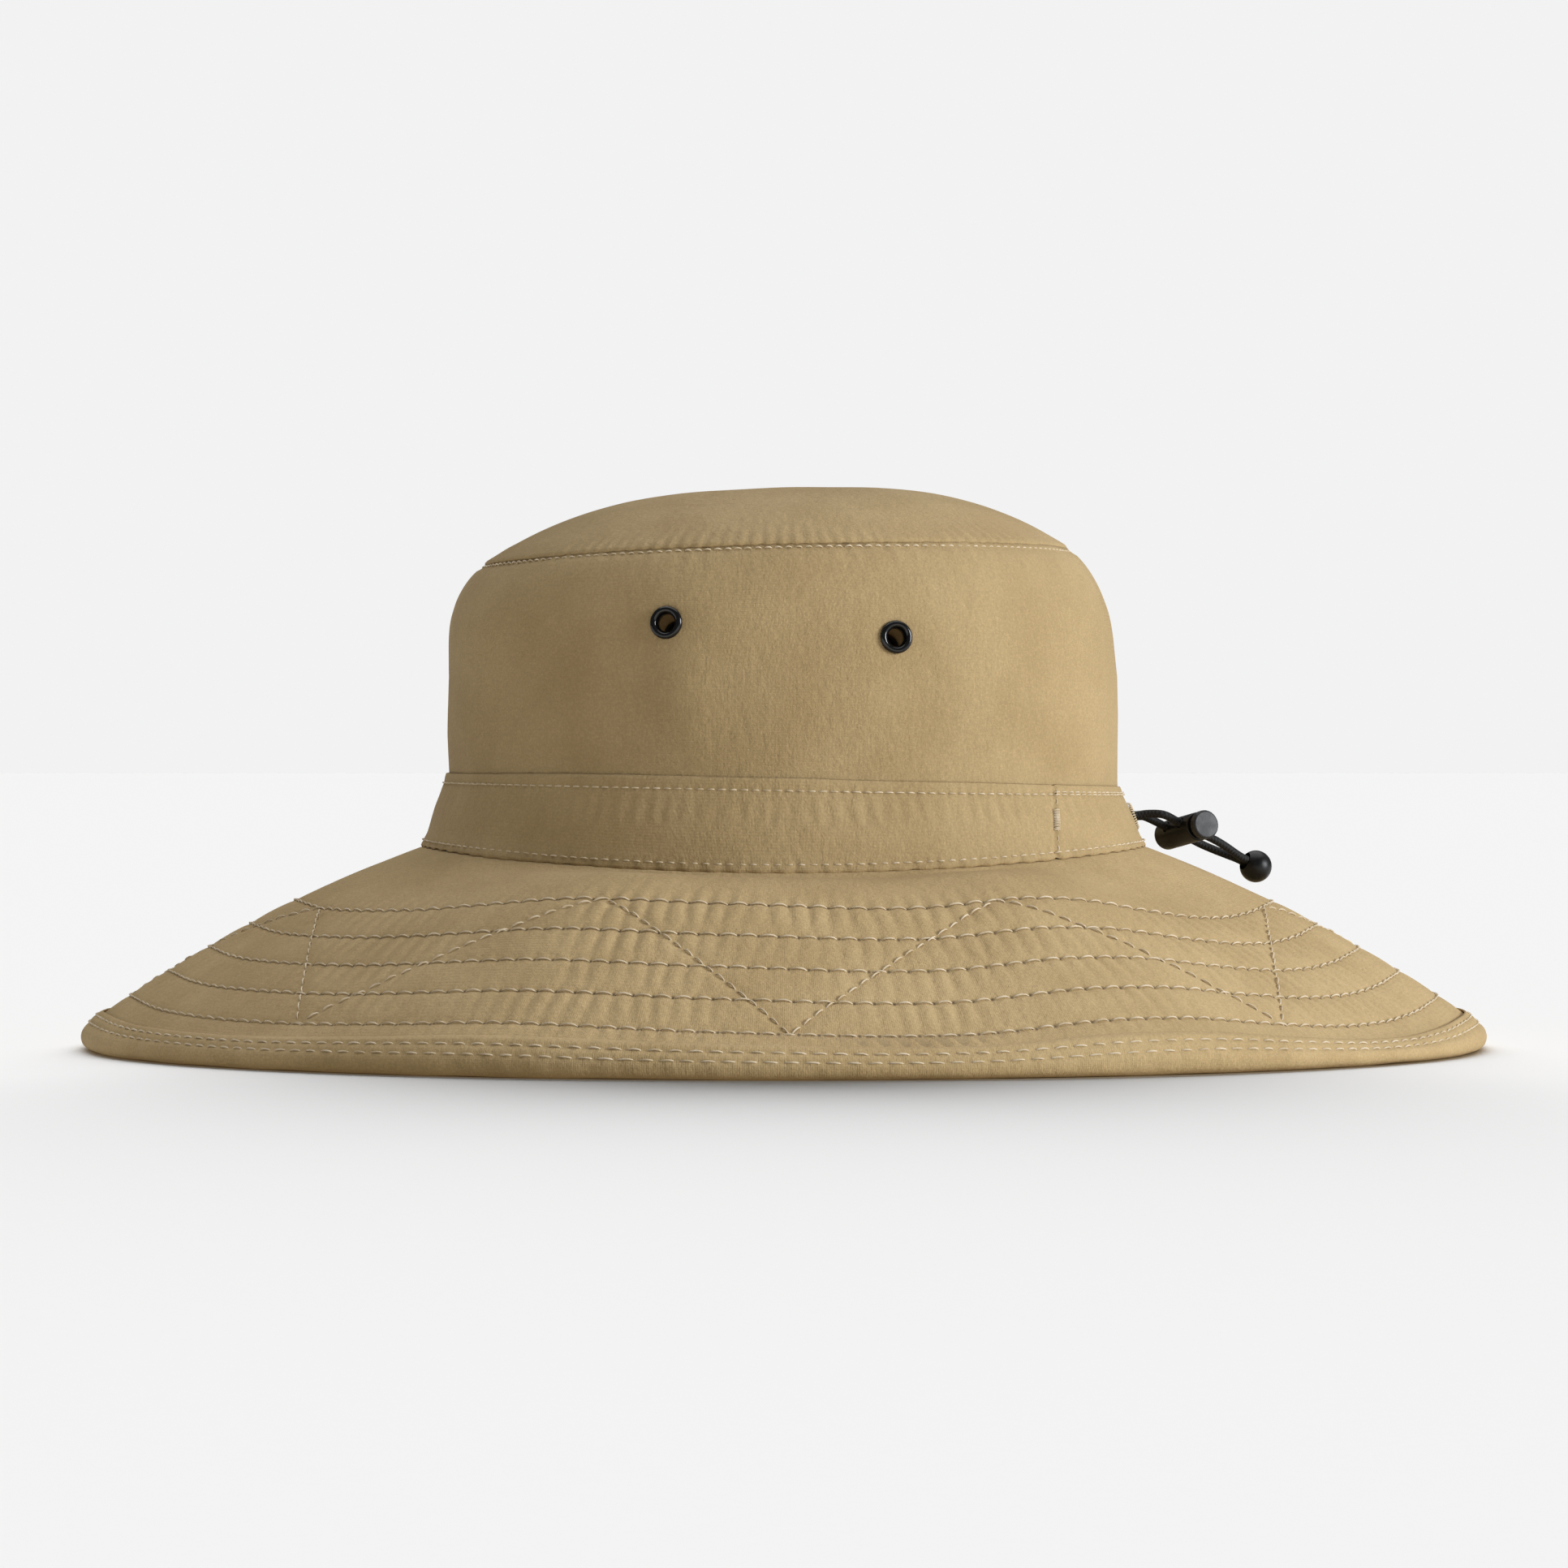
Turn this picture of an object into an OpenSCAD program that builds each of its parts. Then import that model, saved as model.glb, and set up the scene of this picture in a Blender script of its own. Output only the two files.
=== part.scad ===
// Boonie hat: stitched soft sun hat with a drawcord and a sprung cord lock at the back.
// Origin on the ground under the middle of the hat, +Z up, +X to the back of the hat, +Y to its right.
// Every oval is set by its half-length along X; its half-width follows from half_width().
// A section point is [half-length, height]; carried() takes it round the hat.

/* [Crown] */
// Half-length of the crown wall on its outside
crown_half_length = 97.8; // [92:0.1:104]
// Width of the crown as a share of its length
crown_oval = 0.82; // [0.76:0.01:0.9]
// Height of the middle of the tip above the ground
hat_height = 163; // [150:1:175]
// Height of the tip seam, halfway along the hat
tip_seam_height = 144.7; // [142:0.1:146]
// Half-length of the tip seam
tip_half_length = 84; // [82:0.5:86]
// How much the tip seam rises towards the back
tip_tilt = 2.4; // [0:0.1:3]
// Thickness of the crown cloth
crown_cloth = 1; // [0.8:0.1:1.2]

/* [Band] */
// Height of the band's lower edge at the front and back
band_low = 59.6; // [59.4:0.1:61]
// Height of the band's upper edge, halfway along the hat
band_high = 77.5; // [76:0.5:82]
// How much the band's upper edge drops towards the back
band_tilt = 2; // [0:0.1:3]
// Half-length of the band at its lower edge
band_half_length = 106; // [105:0.1:107]
// Thickness of the band cloth
band_cloth = 0.8; // [0.6:0.1:1]
// Height of the sweatband's upper edge
sweatband_high = 92; // [85:1:100]

/* [Brim] */
// Half-length of the hat at the rim
rim_half_length = 205; // [200:1:212]
// Slope of the brim where it leaves the crown
brim_slope = 0.371; // [0.34:0.001:0.39]
// How fast the brim steepens towards the rim, for each millimetre
brim_droop = 0.00165; // [0.00155:0.00001:0.00168]
// How much lower the crown's base runs at the sides
base_side_drop = 6.3; // [0:0.1:6.5]
// Thickness of the upper and lower brim cloths
brim_cloth = 0.9; // [0.6:0.1:1]
// Thickness of the stiffener between the brim cloths
stiffener_cloth = 0.7; // [0.5:0.1:0.8]
// Radius of the padded roll at the rim
rim_roll_r = 3.4; // [3:0.1:3.4]
// Width of the binding's lips over and under the brim
binding_lap = 3.5; // [3:0.5:8]

/* [Vents] */
// Hole radius of a vent eyelet
vent_hole_r = 2.5; // [2:0.1:2.8]
// Outer radius of a vent eyelet's rim
vent_rim_r = 4.5; // [4:0.1:5]
// Angle of each vent from the side of the hat
vent_angle = 19.3; // [12:0.1:30]
// Height of the two front vents
vent_front_height = 121.5; // [112:0.5:124]
// Height of the two back vents
vent_back_height = 117; // [112:0.5:124]

/* [Drawcord] */
// Diameter of the drawcord
cord_d = 2.4; // [2:0.1:2.5]
// Height of the cord's channel and of its eyelet in the band
cord_height = 68.2; // [67.5:0.1:68.5]
// Diameter of the ball that ends the cord
ball_d = 9.5; // [8:0.5:10]

/* [Cord lock] */
// Outer diameter of the barrel and of the button
lock_d = 8.5; // [8:0.1:9]
// Radial wall of the barrel
lock_wall = 1.5; // [1.2:0.1:1.6]
// Distance between the two strands in the lock
strand_spacing = 8; // [7.6:0.1:8.4]
// Travel of the plunger
plunger_travel = 2; // [1:0.1:2]
// Wire diameter of the spring
spring_wire = 0.45; // [0.35:0.05:0.45]
// Turns of the spring
spring_turns = 3; // [2:0.5:3]

/* [Hidden] */
$fn = 64;
gap = 0.1;
ring_steps = 72;
half_steps = ring_steps / 2;

// Crown wall, outside, from the bottom up: half-length and height.
crown_wall = [
    [crown_half_length + 0.6, 60.5],
    [crown_half_length, 79],
    [crown_half_length - 0.1, 102],
    [crown_half_length - 1.1, 121],
    [crown_half_length - 3.4, 130],
    [crown_half_length - 6.6, 136.3],
    [crown_half_length - 10, 140.6],
    [tip_half_length + 0.6, tip_seam_height - 1.4]
];
sweatband_wall = [
    [crown_half_length + 0.6, 60.7],
    [crown_half_length, 79],
    [crown_half_length - 0.04, sweatband_high]
];
tip_rise = hat_height - tip_seam_height;
tip_spans = [20, 40, 54, 65, 74, 80, tip_half_length];

// Band, outside, from its lower edge up. It stands off the crown to leave the cord's channel.
band_wall = [
    [band_half_length, band_low],
    [band_half_length - 1.5, band_low + 3],
    [band_half_length - 3.4, cord_height],
    [crown_half_length + 2.5, band_high - 4.5],
    [crown_half_length + 1.1, band_high]
];

base_height = 58.4;
brim_start = crown_half_length + 1.9;
brim_end = rim_half_length - rim_roll_r - 1.4;
brim_depth = 2 * brim_cloth + stiffener_cloth + 2 * gap;
brim_spans = [
    brim_start, brim_start + 4, 115, 125, 134, 143, 160, 180, brim_end - binding_lap,
    brim_end - 0.5, brim_end
];
brim_edge = len(brim_spans) - 1;
// What the brim's half-width gains over a fixed share, for each millimetre squared.
side_flare = 0.00106;
// Rise of the brim at the sides of the hat, by half-length.
brim_side_rise = [
    [band_half_length, -base_side_drop], [125, 0.3], [143, 2.6], [160, 0.7], [180, -1.7],
    [brim_end - binding_lap, -2.2], [brim_end + 1.4, 0]
];
// Rise of the tip seam at the sides of the hat.
tip_side_rise = 1.2;
binding_cloth = 0.8;
// The binding's inner face passes the brim's edge by the gap.
past_edge = [[0, 0], [0, 0], [gap, 0]];
rim_roll_at = [rim_half_length - rim_roll_r, rim_roll_r];

// The lock's own frame: strands along X, barrel along Y with its button at -Y.
lock_at = [118, 5, 63];
lock_turn = [-10, 24, 23];
lock_bore_r = lock_d / 2 - lock_wall;
plunger_r = lock_bore_r - 0.05;
barrel_mouth = -8.5;
barrel_end = 11;
barrel_floor = barrel_end - 1.3;
button_depth = 2;
button_face = barrel_mouth - plunger_travel - button_depth;
plunger_end = 6.2;
strand_hole_r = 1.6;
strand_slot_r = 1.5;
spring_r = 2;

// The free cord's two strands, in the lock's own frame, from the channel out to the ball.
far_strand = [
    [-16.9, 6.9, -2], [-16.9, 5.2, -2.1], [-16.3, 3.7, -2.1], [-14.9, 2.6, -1.6],
    [-13, 2.8, -0.7], [-10, 4, 0], [-5, 4, 0], [0, 4, 0], [5, 4, 0], [9, 4, 0],
    [13, 2.8, -0.2], [17, 1.2, -0.4], [20, 0.3, -0.5], [23.5, 0.3, -0.6]
];
near_strand = [
    [-20.5, -1.2, -4.7], [-19.8, -0.3, -4.3], [-18.5, 0.3, -3.3], [-16.2, 0.2, -2.2],
    [-13.4, -1.6, -0.8], [-10, -4, 0], [-5, -4, 0], [0, -4, 0], [5, -4, 0], [9, -4, 0],
    [13, -3.6, -0.2], [17, -2.7, -0.4], [20, -2.3, -0.5], [23.5, -2.3, -0.6]
];
ball_at = [25.4, -1, -0.6];
ball_hole_r = 2.65;

VENTS = [
    ["front_left", -1, -1], ["front_right", -1, 1], ["back_left", 1, -1], ["back_right", 1, 1]
];

// Half-width of an oval from its half-length: a fixed share on the crown. On the brim it gains a
// little more with every millimetre, and the sides stay slightly narrower than the ends.
function half_width(a) =
    let (run = max(a - band_half_length, 0))
    crown_oval * a + side_flare * pow(run, 2);

function blend(low, high, share) = low + (high - low) * share;

// How far a point of the section moves up at the sides of the hat. The brim bulges there.
function side_rise(p) =
    p.x > band_half_length || p.y < band_low
        ? lookup(p.x, brim_side_rise)
    : p.y < tip_seam_height - 1
        ? lookup(p.y, [[band_low, -base_side_drop], [band_high, 0.5], [tip_seam_height, tip_side_rise]])
    : tip_side_rise * pow(p.x / tip_half_length, 3);

// How far it moves up at the back and down at the front.
function end_rise(p) =
    p.x > band_half_length || p.y < band_low ? 0
    : p.y < tip_seam_height - 1
        ? lookup(p.y, [[band_low, 0], [band_high, -band_tilt], [tip_seam_height, tip_tilt]])
    : tip_tilt * p.x / tip_half_length;

// A section's point carried round the hat to azimuth t.
function carried(p, t) = [
    p.x * cos(t) - max(end_rise(p), 0),
    half_width(p.x) * sin(t),
    p.y + side_rise(p) * pow(sin(t), 2) + end_rise(p) * cos(t)
];

function tip_height(a) = tip_seam_height + tip_rise * (1 - pow(a / tip_half_length, 3));

function brim_z(a) =
    let (run = a - band_half_length)
    base_height - brim_slope * run - brim_droop * pow(run, 2);

// Unit normal of an open outline at its point i, to the right of its direction.
function side_of(line, i) =
    let (d = line[min(i + 1, len(line) - 1)] - line[max(i - 1, 0)])
    [d.y, -d.x] / norm(d);

function shifted(line, distance) =
    [for (i = [0 : len(line) - 1]) line[i] + distance * side_of(line, i)];

// The brim's upper face moved down into the brim by a depth, over part of its spans. Every layer
// keeps the same half-lengths, so that the layers stay apart where the brim rises and falls.
function brim_line(first, last, depth) =
    [for (i = [first : last])
        let (a = brim_spans[i], slope = brim_slope + 2 * brim_droop * (a - band_half_length))
        [a, brim_z(a) - depth * norm([1, slope])]];

// The crown wall's tip end, moved into the hat by a depth.
function under_tip_seam(depth) =
    let (line = shifted(crown_wall, -depth))
    [for (i = [4 : 6]) line[i]];

// Quads between two neighbouring rows of a grid of points, round the closed outline of a section.
function skin(rows, width, closed) =
    [for (r = [0 : rows - (closed ? 1 : 2)], i = [0 : width - 1])
        let (next = (r + 1) % rows, j = (i + 1) % width)
        [r * width + i, r * width + j, next * width + j, next * width + i]];

// End faces of a section made of two lines of equal length, as quads across its thickness.
function end_faces(rows, width) =
    let (half = width / 2, last = (rows - 1) * width)
    concat(
        [for (i = [0 : half - 2]) [i, width - 1 - i, width - 2 - i, i + 1]],
        [for (i = [0 : half - 2]) [last + i, last + i + 1, last + width - 2 - i, last + width - 1 - i]]
    );

function reversed(line) = [for (i = [len(line) - 1 : -1 : 0]) line[i]];

// A sheet round the hat between two lines of the section. From and to are azimuth steps.
module sheet_round(outside, inside, from = 0, to = ring_steps) {
    closed = to - from == ring_steps;
    section = concat(outside, reversed(inside));
    rows = to - from + (closed ? 0 : 1);
    points = [for (r = [0 : rows - 1], p = section) carried(p, (from + r) * 360 / ring_steps)];
    faces = concat(
        skin(rows, len(section), closed),
        closed ? [] : end_faces(rows, len(section))
    );
    polyhedron(points = points, faces = faces, convexity = 8);
}

// A tube along a list of points, with one eight-sided ring at each.
module tube_along(route, r) {
    sides = 8;
    last = len(route) - 1;
    rings = [for (i = [0 : last])
        let (
            ahead = route[min(i + 1, last)] - route[max(i - 1, 0)],
            along = ahead / norm(ahead),
            across = cross(along, [0, 0, 1]) / norm(cross(along, [0, 0, 1])),
            up = cross(across, along)
        )
        [for (k = [0 : sides - 1]) route[i] + r * (cos(k * 45) * across + sin(k * 45) * up)]];
    polyhedron(
        points = [for (ring = rings) each ring],
        faces = concat(
            skin(last + 1, sides, false),
            [[for (k = [sides - 1 : -1 : 0]) k]],
            [[for (k = [0 : sides - 1]) last * sides + k]]
        ),
        convexity = 8
    );
}

// Puts its children on the crown wall at a vent, with +Z pointing out of the hat.
module at_vent(end, side) {
    height = end < 0 ? vent_front_height : vent_back_height;
    t = side * (90 - end * vent_angle);
    a = lookup(height, [for (p = crown_wall) [p.y, p.x]]);
    normal_turn = atan2(sin(t) / half_width(a), cos(t) / a);
    place = carried([a, height], t);
    translate(place) rotate([0, 84, normal_turn]) children();
}

module crown_tip() {
    rows = len(tip_spans);
    rings = [for (drop = [0, crown_cloth], a = tip_spans, r = [0 : ring_steps - 1])
        carried([a, tip_height(a) - drop], r * 360 / ring_steps)];
    apex = len(rings);
    color("tan") polyhedron(
        points = concat(rings, [[0, 0, hat_height], [0, 0, hat_height - crown_cloth]]),
        faces = concat(
            [for (k = [0, 1], i = [0 : rows - 2], r = [0 : ring_steps - 1])
                let (
                    low = (k * rows + i) * ring_steps,
                    high = low + ring_steps,
                    s = (r + 1) % ring_steps
                )
                k == 0
                    ? [low + r, high + r, high + s, low + s]
                    : [low + s, high + s, high + r, low + r]],
            [for (r = [0 : ring_steps - 1])
                let (
                    s = (r + 1) % ring_steps,
                    top = (rows - 1) * ring_steps,
                    bottom = (2 * rows - 1) * ring_steps
                )
                [top + s, top + r, bottom + r, bottom + s]],
            [for (r = [0 : ring_steps - 1]) [apex, r, (r + 1) % ring_steps]],
            [for (r = [0 : ring_steps - 1])
                [apex + 1, rows * ring_steps + (r + 1) % ring_steps, rows * ring_steps + r]]
        ),
        convexity = 6
    );
}

// One half of the crown wall, with its two vent holes. Side is -1 for the hat's left.
module crown_side(side) {
    from = side < 0 ? -half_steps : 0;
    color("tan") difference() {
        sheet_round(crown_wall, shifted(crown_wall, -crown_cloth), from, from + half_steps);
        for (end = [-1, 1])
            at_vent(end, side) cylinder(r = vent_hole_r + 0.5, h = 8, center = true);
    }
}

module tip_seam_tape() {
    inset = crown_cloth + gap;
    color("wheat") sheet_round(under_tip_seam(inset), under_tip_seam(inset + 0.6));
}

module hat_band() {
    color("tan") difference() {
        sheet_round(band_wall, shifted(band_wall, -band_cloth));
        at_cord_eyelet() cylinder(r = 3.95, h = 6, center = true);
    }
}

module sweatband() {
    color("wheat") sheet_round(
        shifted(sweatband_wall, -crown_cloth - gap),
        shifted(sweatband_wall, -crown_cloth - gap - 0.9)
    );
}

// A blank woven label sewn inside the sweatband at the back.
module size_label() {
    label = [[crown_half_length + 0.35, 68], [crown_half_length, 79], [crown_half_length, 86]];
    inset = crown_cloth + 2 * gap + 0.9;
    color("white") sheet_round(shifted(label, -inset), shifted(label, -inset - 0.4), -2, 2);
}

// One layer of the brim, between two depths below its upper face.
module brim_layer(first, last, upper, lower) {
    sheet_round(brim_line(first, last, upper), brim_line(first, last, lower));
}

module brim_top() {
    color("tan") brim_layer(0, brim_edge, 0, brim_cloth);
}

module brim_stiffener() {
    top = brim_cloth + gap;
    color("whitesmoke") brim_layer(1, brim_edge - 1, top, top + stiffener_cloth);
}

module brim_underside() {
    color("tan") brim_layer(0, brim_edge, brim_depth - brim_cloth, brim_depth);
}

// The folded binding: a lip above the brim, the padded roll at the rim and a lip below.
module brim_binding() {
    lap = brim_edge - 2;
    roll = [for (turn = [50 : -25 : -125]) rim_roll_at + rim_roll_r * [cos(turn), sin(turn)]];
    outside = concat(
        brim_line(lap, lap + 1, -binding_cloth - gap),
        roll,
        reversed(brim_line(lap, lap + 1, brim_depth + binding_cloth + gap))
    );
    inside = concat(
        brim_line(lap, brim_edge, -gap) + past_edge,
        reversed(brim_line(lap, brim_edge, brim_depth + gap)) + reversed(past_edge)
    );
    color("tan") sheet_round(outside, inside);
}

module vent_eyelet(end, side) {
    depth = crown_cloth + 1.1;
    color("black") at_vent(end, side) translate([0, 0, 0.2]) rotate_extrude() {
        difference() {
            hull() {
                translate([vent_hole_r, 0.05]) square([0.4, 0.5]);
                translate([vent_rim_r - 0.4, 0.45]) circle(r = 0.4);
                translate([vent_hole_r + 0.9, 0.75]) circle(r = 0.35);
            }
            translate([0, -1]) square([vent_hole_r, 4]);
        }
        translate([vent_hole_r, -depth]) square([0.4, depth + 0.1]);
        translate([vent_hole_r, -depth - 0.35]) square([1.1, 0.35]);
    }
}

module vent_washer(end, side) {
    color("dimgray") at_vent(end, side) translate([0, 0, -crown_cloth - 0.85]) difference() {
        cylinder(r = vent_rim_r, h = 0.45);
        translate([0, 0, -1]) cylinder(r = vent_hole_r + 0.5, h = 3);
    }
}

// Puts its children at the cord's hole at the back of the band, with +Z pointing out.
module at_cord_eyelet() {
    translate(carried([band_half_length - 3.4, cord_height], 0)) rotate([0, 71, 0]) children();
}

// The stitched edge of the hole that the cord comes out of.
module cord_eyelet() {
    color("wheat") at_cord_eyelet() translate([0, 0, -1.2]) difference() {
        cylinder(r = 3.9, h = 1.7);
        translate([0, 0, -1]) cylinder(r = 3, h = 4);
    }
}

module channel_cord() {
    r = cord_d / 2;
    loop = [for (i = [0 : half_steps]) let (t = 3.5 + i * (360 - 7) / half_steps)
        carried([band_half_length - 6, cord_height], t)];
    color("black") tube_along(loop, r);
}

module at_lock() {
    translate(lock_at) rotate(lock_turn) children();
}

module cord_strand(route) {
    color("black") at_lock() tube_along(route, cord_d / 2);
}

module cord_lock_barrel() {
    color([0.09, 0.09, 0.09]) at_lock() difference() {
        translate([0, barrel_end, 0]) rotate([90, 0, 0])
            cylinder(d = lock_d, h = barrel_end - barrel_mouth);
        translate([0, barrel_floor, 0]) rotate([90, 0, 0])
            cylinder(r = lock_bore_r, h = barrel_floor - barrel_mouth + 1);
        for (side = [-1, 1])
            translate([0, side * strand_spacing / 2, 0]) rotate([0, 90, 0])
                cylinder(r = strand_hole_r, h = lock_d + 2, center = true);
    }
}

// The plunger's stem has a slot for each strand, long enough for its travel.
module cord_lock_plunger() {
    slot_r = strand_slot_r;
    color([0.2, 0.2, 0.2]) at_lock() difference() {
        union() {
            translate([0, plunger_end, 0]) rotate([90, 0, 0])
                cylinder(r = plunger_r, h = plunger_end - button_face - 1);
            translate([0, button_face, 0]) rotate([-90, 0, 0]) rotate_extrude() hull() {
                square([lock_d / 2 - 0.7, button_depth]);
                translate([lock_d / 2 - 0.7, 0.7]) circle(r = 0.7, $fn = 32);
                translate([0, button_depth - 0.5]) square([lock_d / 2, 0.5]);
            }
        }
        for (side = [-1, 1])
            translate([0, side * strand_spacing / 2, 0]) {
                rotate([0, 90, 0]) cylinder(r = slot_r, h = lock_d, center = true);
                translate([-lock_d / 2, -plunger_travel, -slot_r])
                    cube([lock_d, plunger_travel, 2 * slot_r]);
                translate([0, -plunger_travel, 0]) rotate([0, 90, 0])
                    cylinder(r = slot_r, h = lock_d, center = true);
            }
    }
}

module cord_lock_spring() {
    turn_steps = 16;
    low = plunger_end + spring_wire / 2 + 0.02;
    high = barrel_floor - spring_wire / 2 - 0.02;
    steps = spring_turns * turn_steps;
    coil = [for (i = [0 : steps])
        let (turn = i * 360 / turn_steps)
        [spring_r * cos(turn), spring_r * sin(turn), blend(low, high, i / steps)]];
    color("silver") at_lock() rotate([-90, 0, 0]) tube_along(coil, spring_wire / 2);
}

module cord_end_ball() {
    color("black") at_lock() difference() {
        translate(ball_at) sphere(d = ball_d);
        translate([ball_at.x - ball_d, ball_at.y, ball_at.z]) rotate([0, 90, 0])
            cylinder(r = ball_hole_r, h = ball_d - 1.85);
    }
}

crown_tip();
crown_side(-1);  // crown_side_left
crown_side(1);  // crown_side_right
tip_seam_tape();
hat_band();
sweatband();
size_label();
brim_top();
brim_stiffener();
brim_underside();
brim_binding();
cord_eyelet();
channel_cord();
cord_strand(far_strand);  // cord_strand_far
cord_strand(near_strand);  // cord_strand_near
cord_lock_barrel();
cord_lock_plunger();
cord_lock_spring();
cord_end_ball();
for (v = VENTS) {
    vent_eyelet(v[1], v[2]);
    vent_washer(v[1], v[2]);
}
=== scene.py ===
import itertools
import math
import random
import bmesh
import bpy
import numpy as np
from mathutils import Euler, Matrix, Vector


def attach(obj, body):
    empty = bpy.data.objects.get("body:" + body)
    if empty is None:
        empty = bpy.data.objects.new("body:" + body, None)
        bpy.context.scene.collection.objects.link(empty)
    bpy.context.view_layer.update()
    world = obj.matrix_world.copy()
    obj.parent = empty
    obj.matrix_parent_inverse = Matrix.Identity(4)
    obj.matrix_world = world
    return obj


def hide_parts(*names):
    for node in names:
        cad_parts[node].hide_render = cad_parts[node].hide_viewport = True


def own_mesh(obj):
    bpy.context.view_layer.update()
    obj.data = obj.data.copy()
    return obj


# A quilted boonie hat with a cord lock at the back. Metres, +Z up, +X to the back of the hat.
# Round pieces are spun from a section of (half-length, height) points and carried round the oval.
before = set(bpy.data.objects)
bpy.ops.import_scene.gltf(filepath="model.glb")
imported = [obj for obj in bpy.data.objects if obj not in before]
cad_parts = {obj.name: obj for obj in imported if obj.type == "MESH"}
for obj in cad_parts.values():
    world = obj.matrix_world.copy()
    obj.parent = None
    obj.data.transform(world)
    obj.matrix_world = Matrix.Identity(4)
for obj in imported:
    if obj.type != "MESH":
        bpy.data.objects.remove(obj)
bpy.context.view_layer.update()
fullTurn = 2 * math.pi
print("frame loaded,", len(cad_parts), "nodes")


def linked(name, data):
    # A new object in the scene
    holder = bpy.data.objects.new(name, data)
    bpy.context.scene.collection.objects.link(holder)
    return holder


def meshFrom(name, bm):
    mesh = bpy.data.meshes.new(name)
    bm.to_mesh(mesh)
    bm.free()
    return mesh


camera = {
    "place": (0, -1.6, 0.082),
    "target": (0.0001, 0, 0.0767),
    "lens": 125.2,
    "sensor": 36,
}


def makeCamera():
    lens = bpy.data.cameras.new("camera")
    lens.lens = camera["lens"]
    lens.sensor_width = camera["sensor"]
    holder = linked("camera", lens)
    holder.location = camera["place"]
    aim = Vector(camera["target"]) - Vector(camera["place"])
    holder.rotation_euler = aim.to_track_quat("-Z", "Y").to_euler()
    bpy.context.scene.camera = holder


makeCamera()


class Wire:
    # A socket in a material's node tree. Arithmetic on it adds Math nodes.
    def __init__(self, tree, socket=None):
        self.tree = tree
        self.socket = socket

    def node(self, kind, inputs=None, output=0, **settings):
        made = self.tree.nodes.new(kind)
        for name, value in settings.items():
            setattr(made, name, value)
        for name, value in (inputs or {}).items():
            if isinstance(value, Wire):
                self.tree.links.new(value.socket, made.inputs[name])
            else:
                made.inputs[name].default_value = value
        return Wire(self.tree, made.outputs[output]) if made.outputs else None

    def maths(self, operation, first, second=0.0):
        return self.node("ShaderNodeMath", {0: first, 1: second}, operation=operation)

    def __add__(self, other):
        return self.maths("ADD", self, other)

    def __sub__(self, other):
        return self.maths("SUBTRACT", self, other)

    def __rsub__(self, other):
        return self.maths("SUBTRACT", other, self)

    def __mul__(self, other):
        return self.maths("MULTIPLY", self, other)

    def __truediv__(self, other):
        return self.maths("DIVIDE", self, other)

    def __mod__(self, other):
        return self.maths("FLOORED_MODULO", self, other)

    def __abs__(self):
        return self.maths("ABSOLUTE", self)

    __radd__ = __add__
    __rmul__ = __mul__

    def fraction(self):
        return self.maths("FRACT", self)

    def fade(self, low, high, start=0.0, end=1.0):
        # Goes smoothly from start to end as the value goes from low to high
        places = {"Value": self, "From Min": low, "From Max": high, "To Min": start, "To Max": end}
        return self.node("ShaderNodeMapRange", places, interpolation_type="SMOOTHSTEP")

    def mixed(self, share, first, second):
        colours = {"Factor": share, 6: first, 7: second}
        return self.node("ShaderNodeMix", colours, output=2, data_type="RGBA")

    def noise(self, place, scale, detail=2.0, roughness=0.5):
        sizes = {"Vector": place, "Scale": scale, "Detail": detail, "Roughness": roughness}
        return self.node("ShaderNodeTexNoise", sizes)

    def stretched(self, place, scale):
        return self.node("ShaderNodeMapping", {"Vector": place, "Scale": scale})

    def objectPlace(self):
        return self.node("ShaderNodeTexCoord", output=3)

    def clothPlace(self, name):
        return self.node("ShaderNodeUVMap", uv_map=name)

    def across(self, place, which):
        return self.node("ShaderNodeSeparateXYZ", {0: place}, output=which)

    def bump(self, height, distance, strength=1.0, under=None):
        relief = {"Height": height, "Distance": distance, "Strength": strength}
        if under:
            relief["Normal"] = under
        return self.node("ShaderNodeBump", relief)


def shade(red, green, blue):
    return (red, green, blue, 1.0)


def newMaterial(name, make):
    # make(wires) gives the shader's inputs, by name
    material = bpy.data.materials.new(name)
    material.use_nodes = True
    tree = material.node_tree
    tree.nodes.clear()
    wires = Wire(tree)
    shader = wires.node("ShaderNodeBsdfPrincipled", make(wires))
    wires.node("ShaderNodeOutputMaterial", {"Surface": shader})
    return material


clothFinish = {
    "light": (0.452, 0.328, 0.164),
    "dark": (0.398, 0.283, 0.136),
    # painted shade: the dark brown that the cloth colour goes to in each needle hole
    "hole": (0.085, 0.055, 0.026),
    "roughness": 0.82,
    "thread": 0.00042,          # spacing of the weave
    "grain": 0.00009,
}


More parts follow.
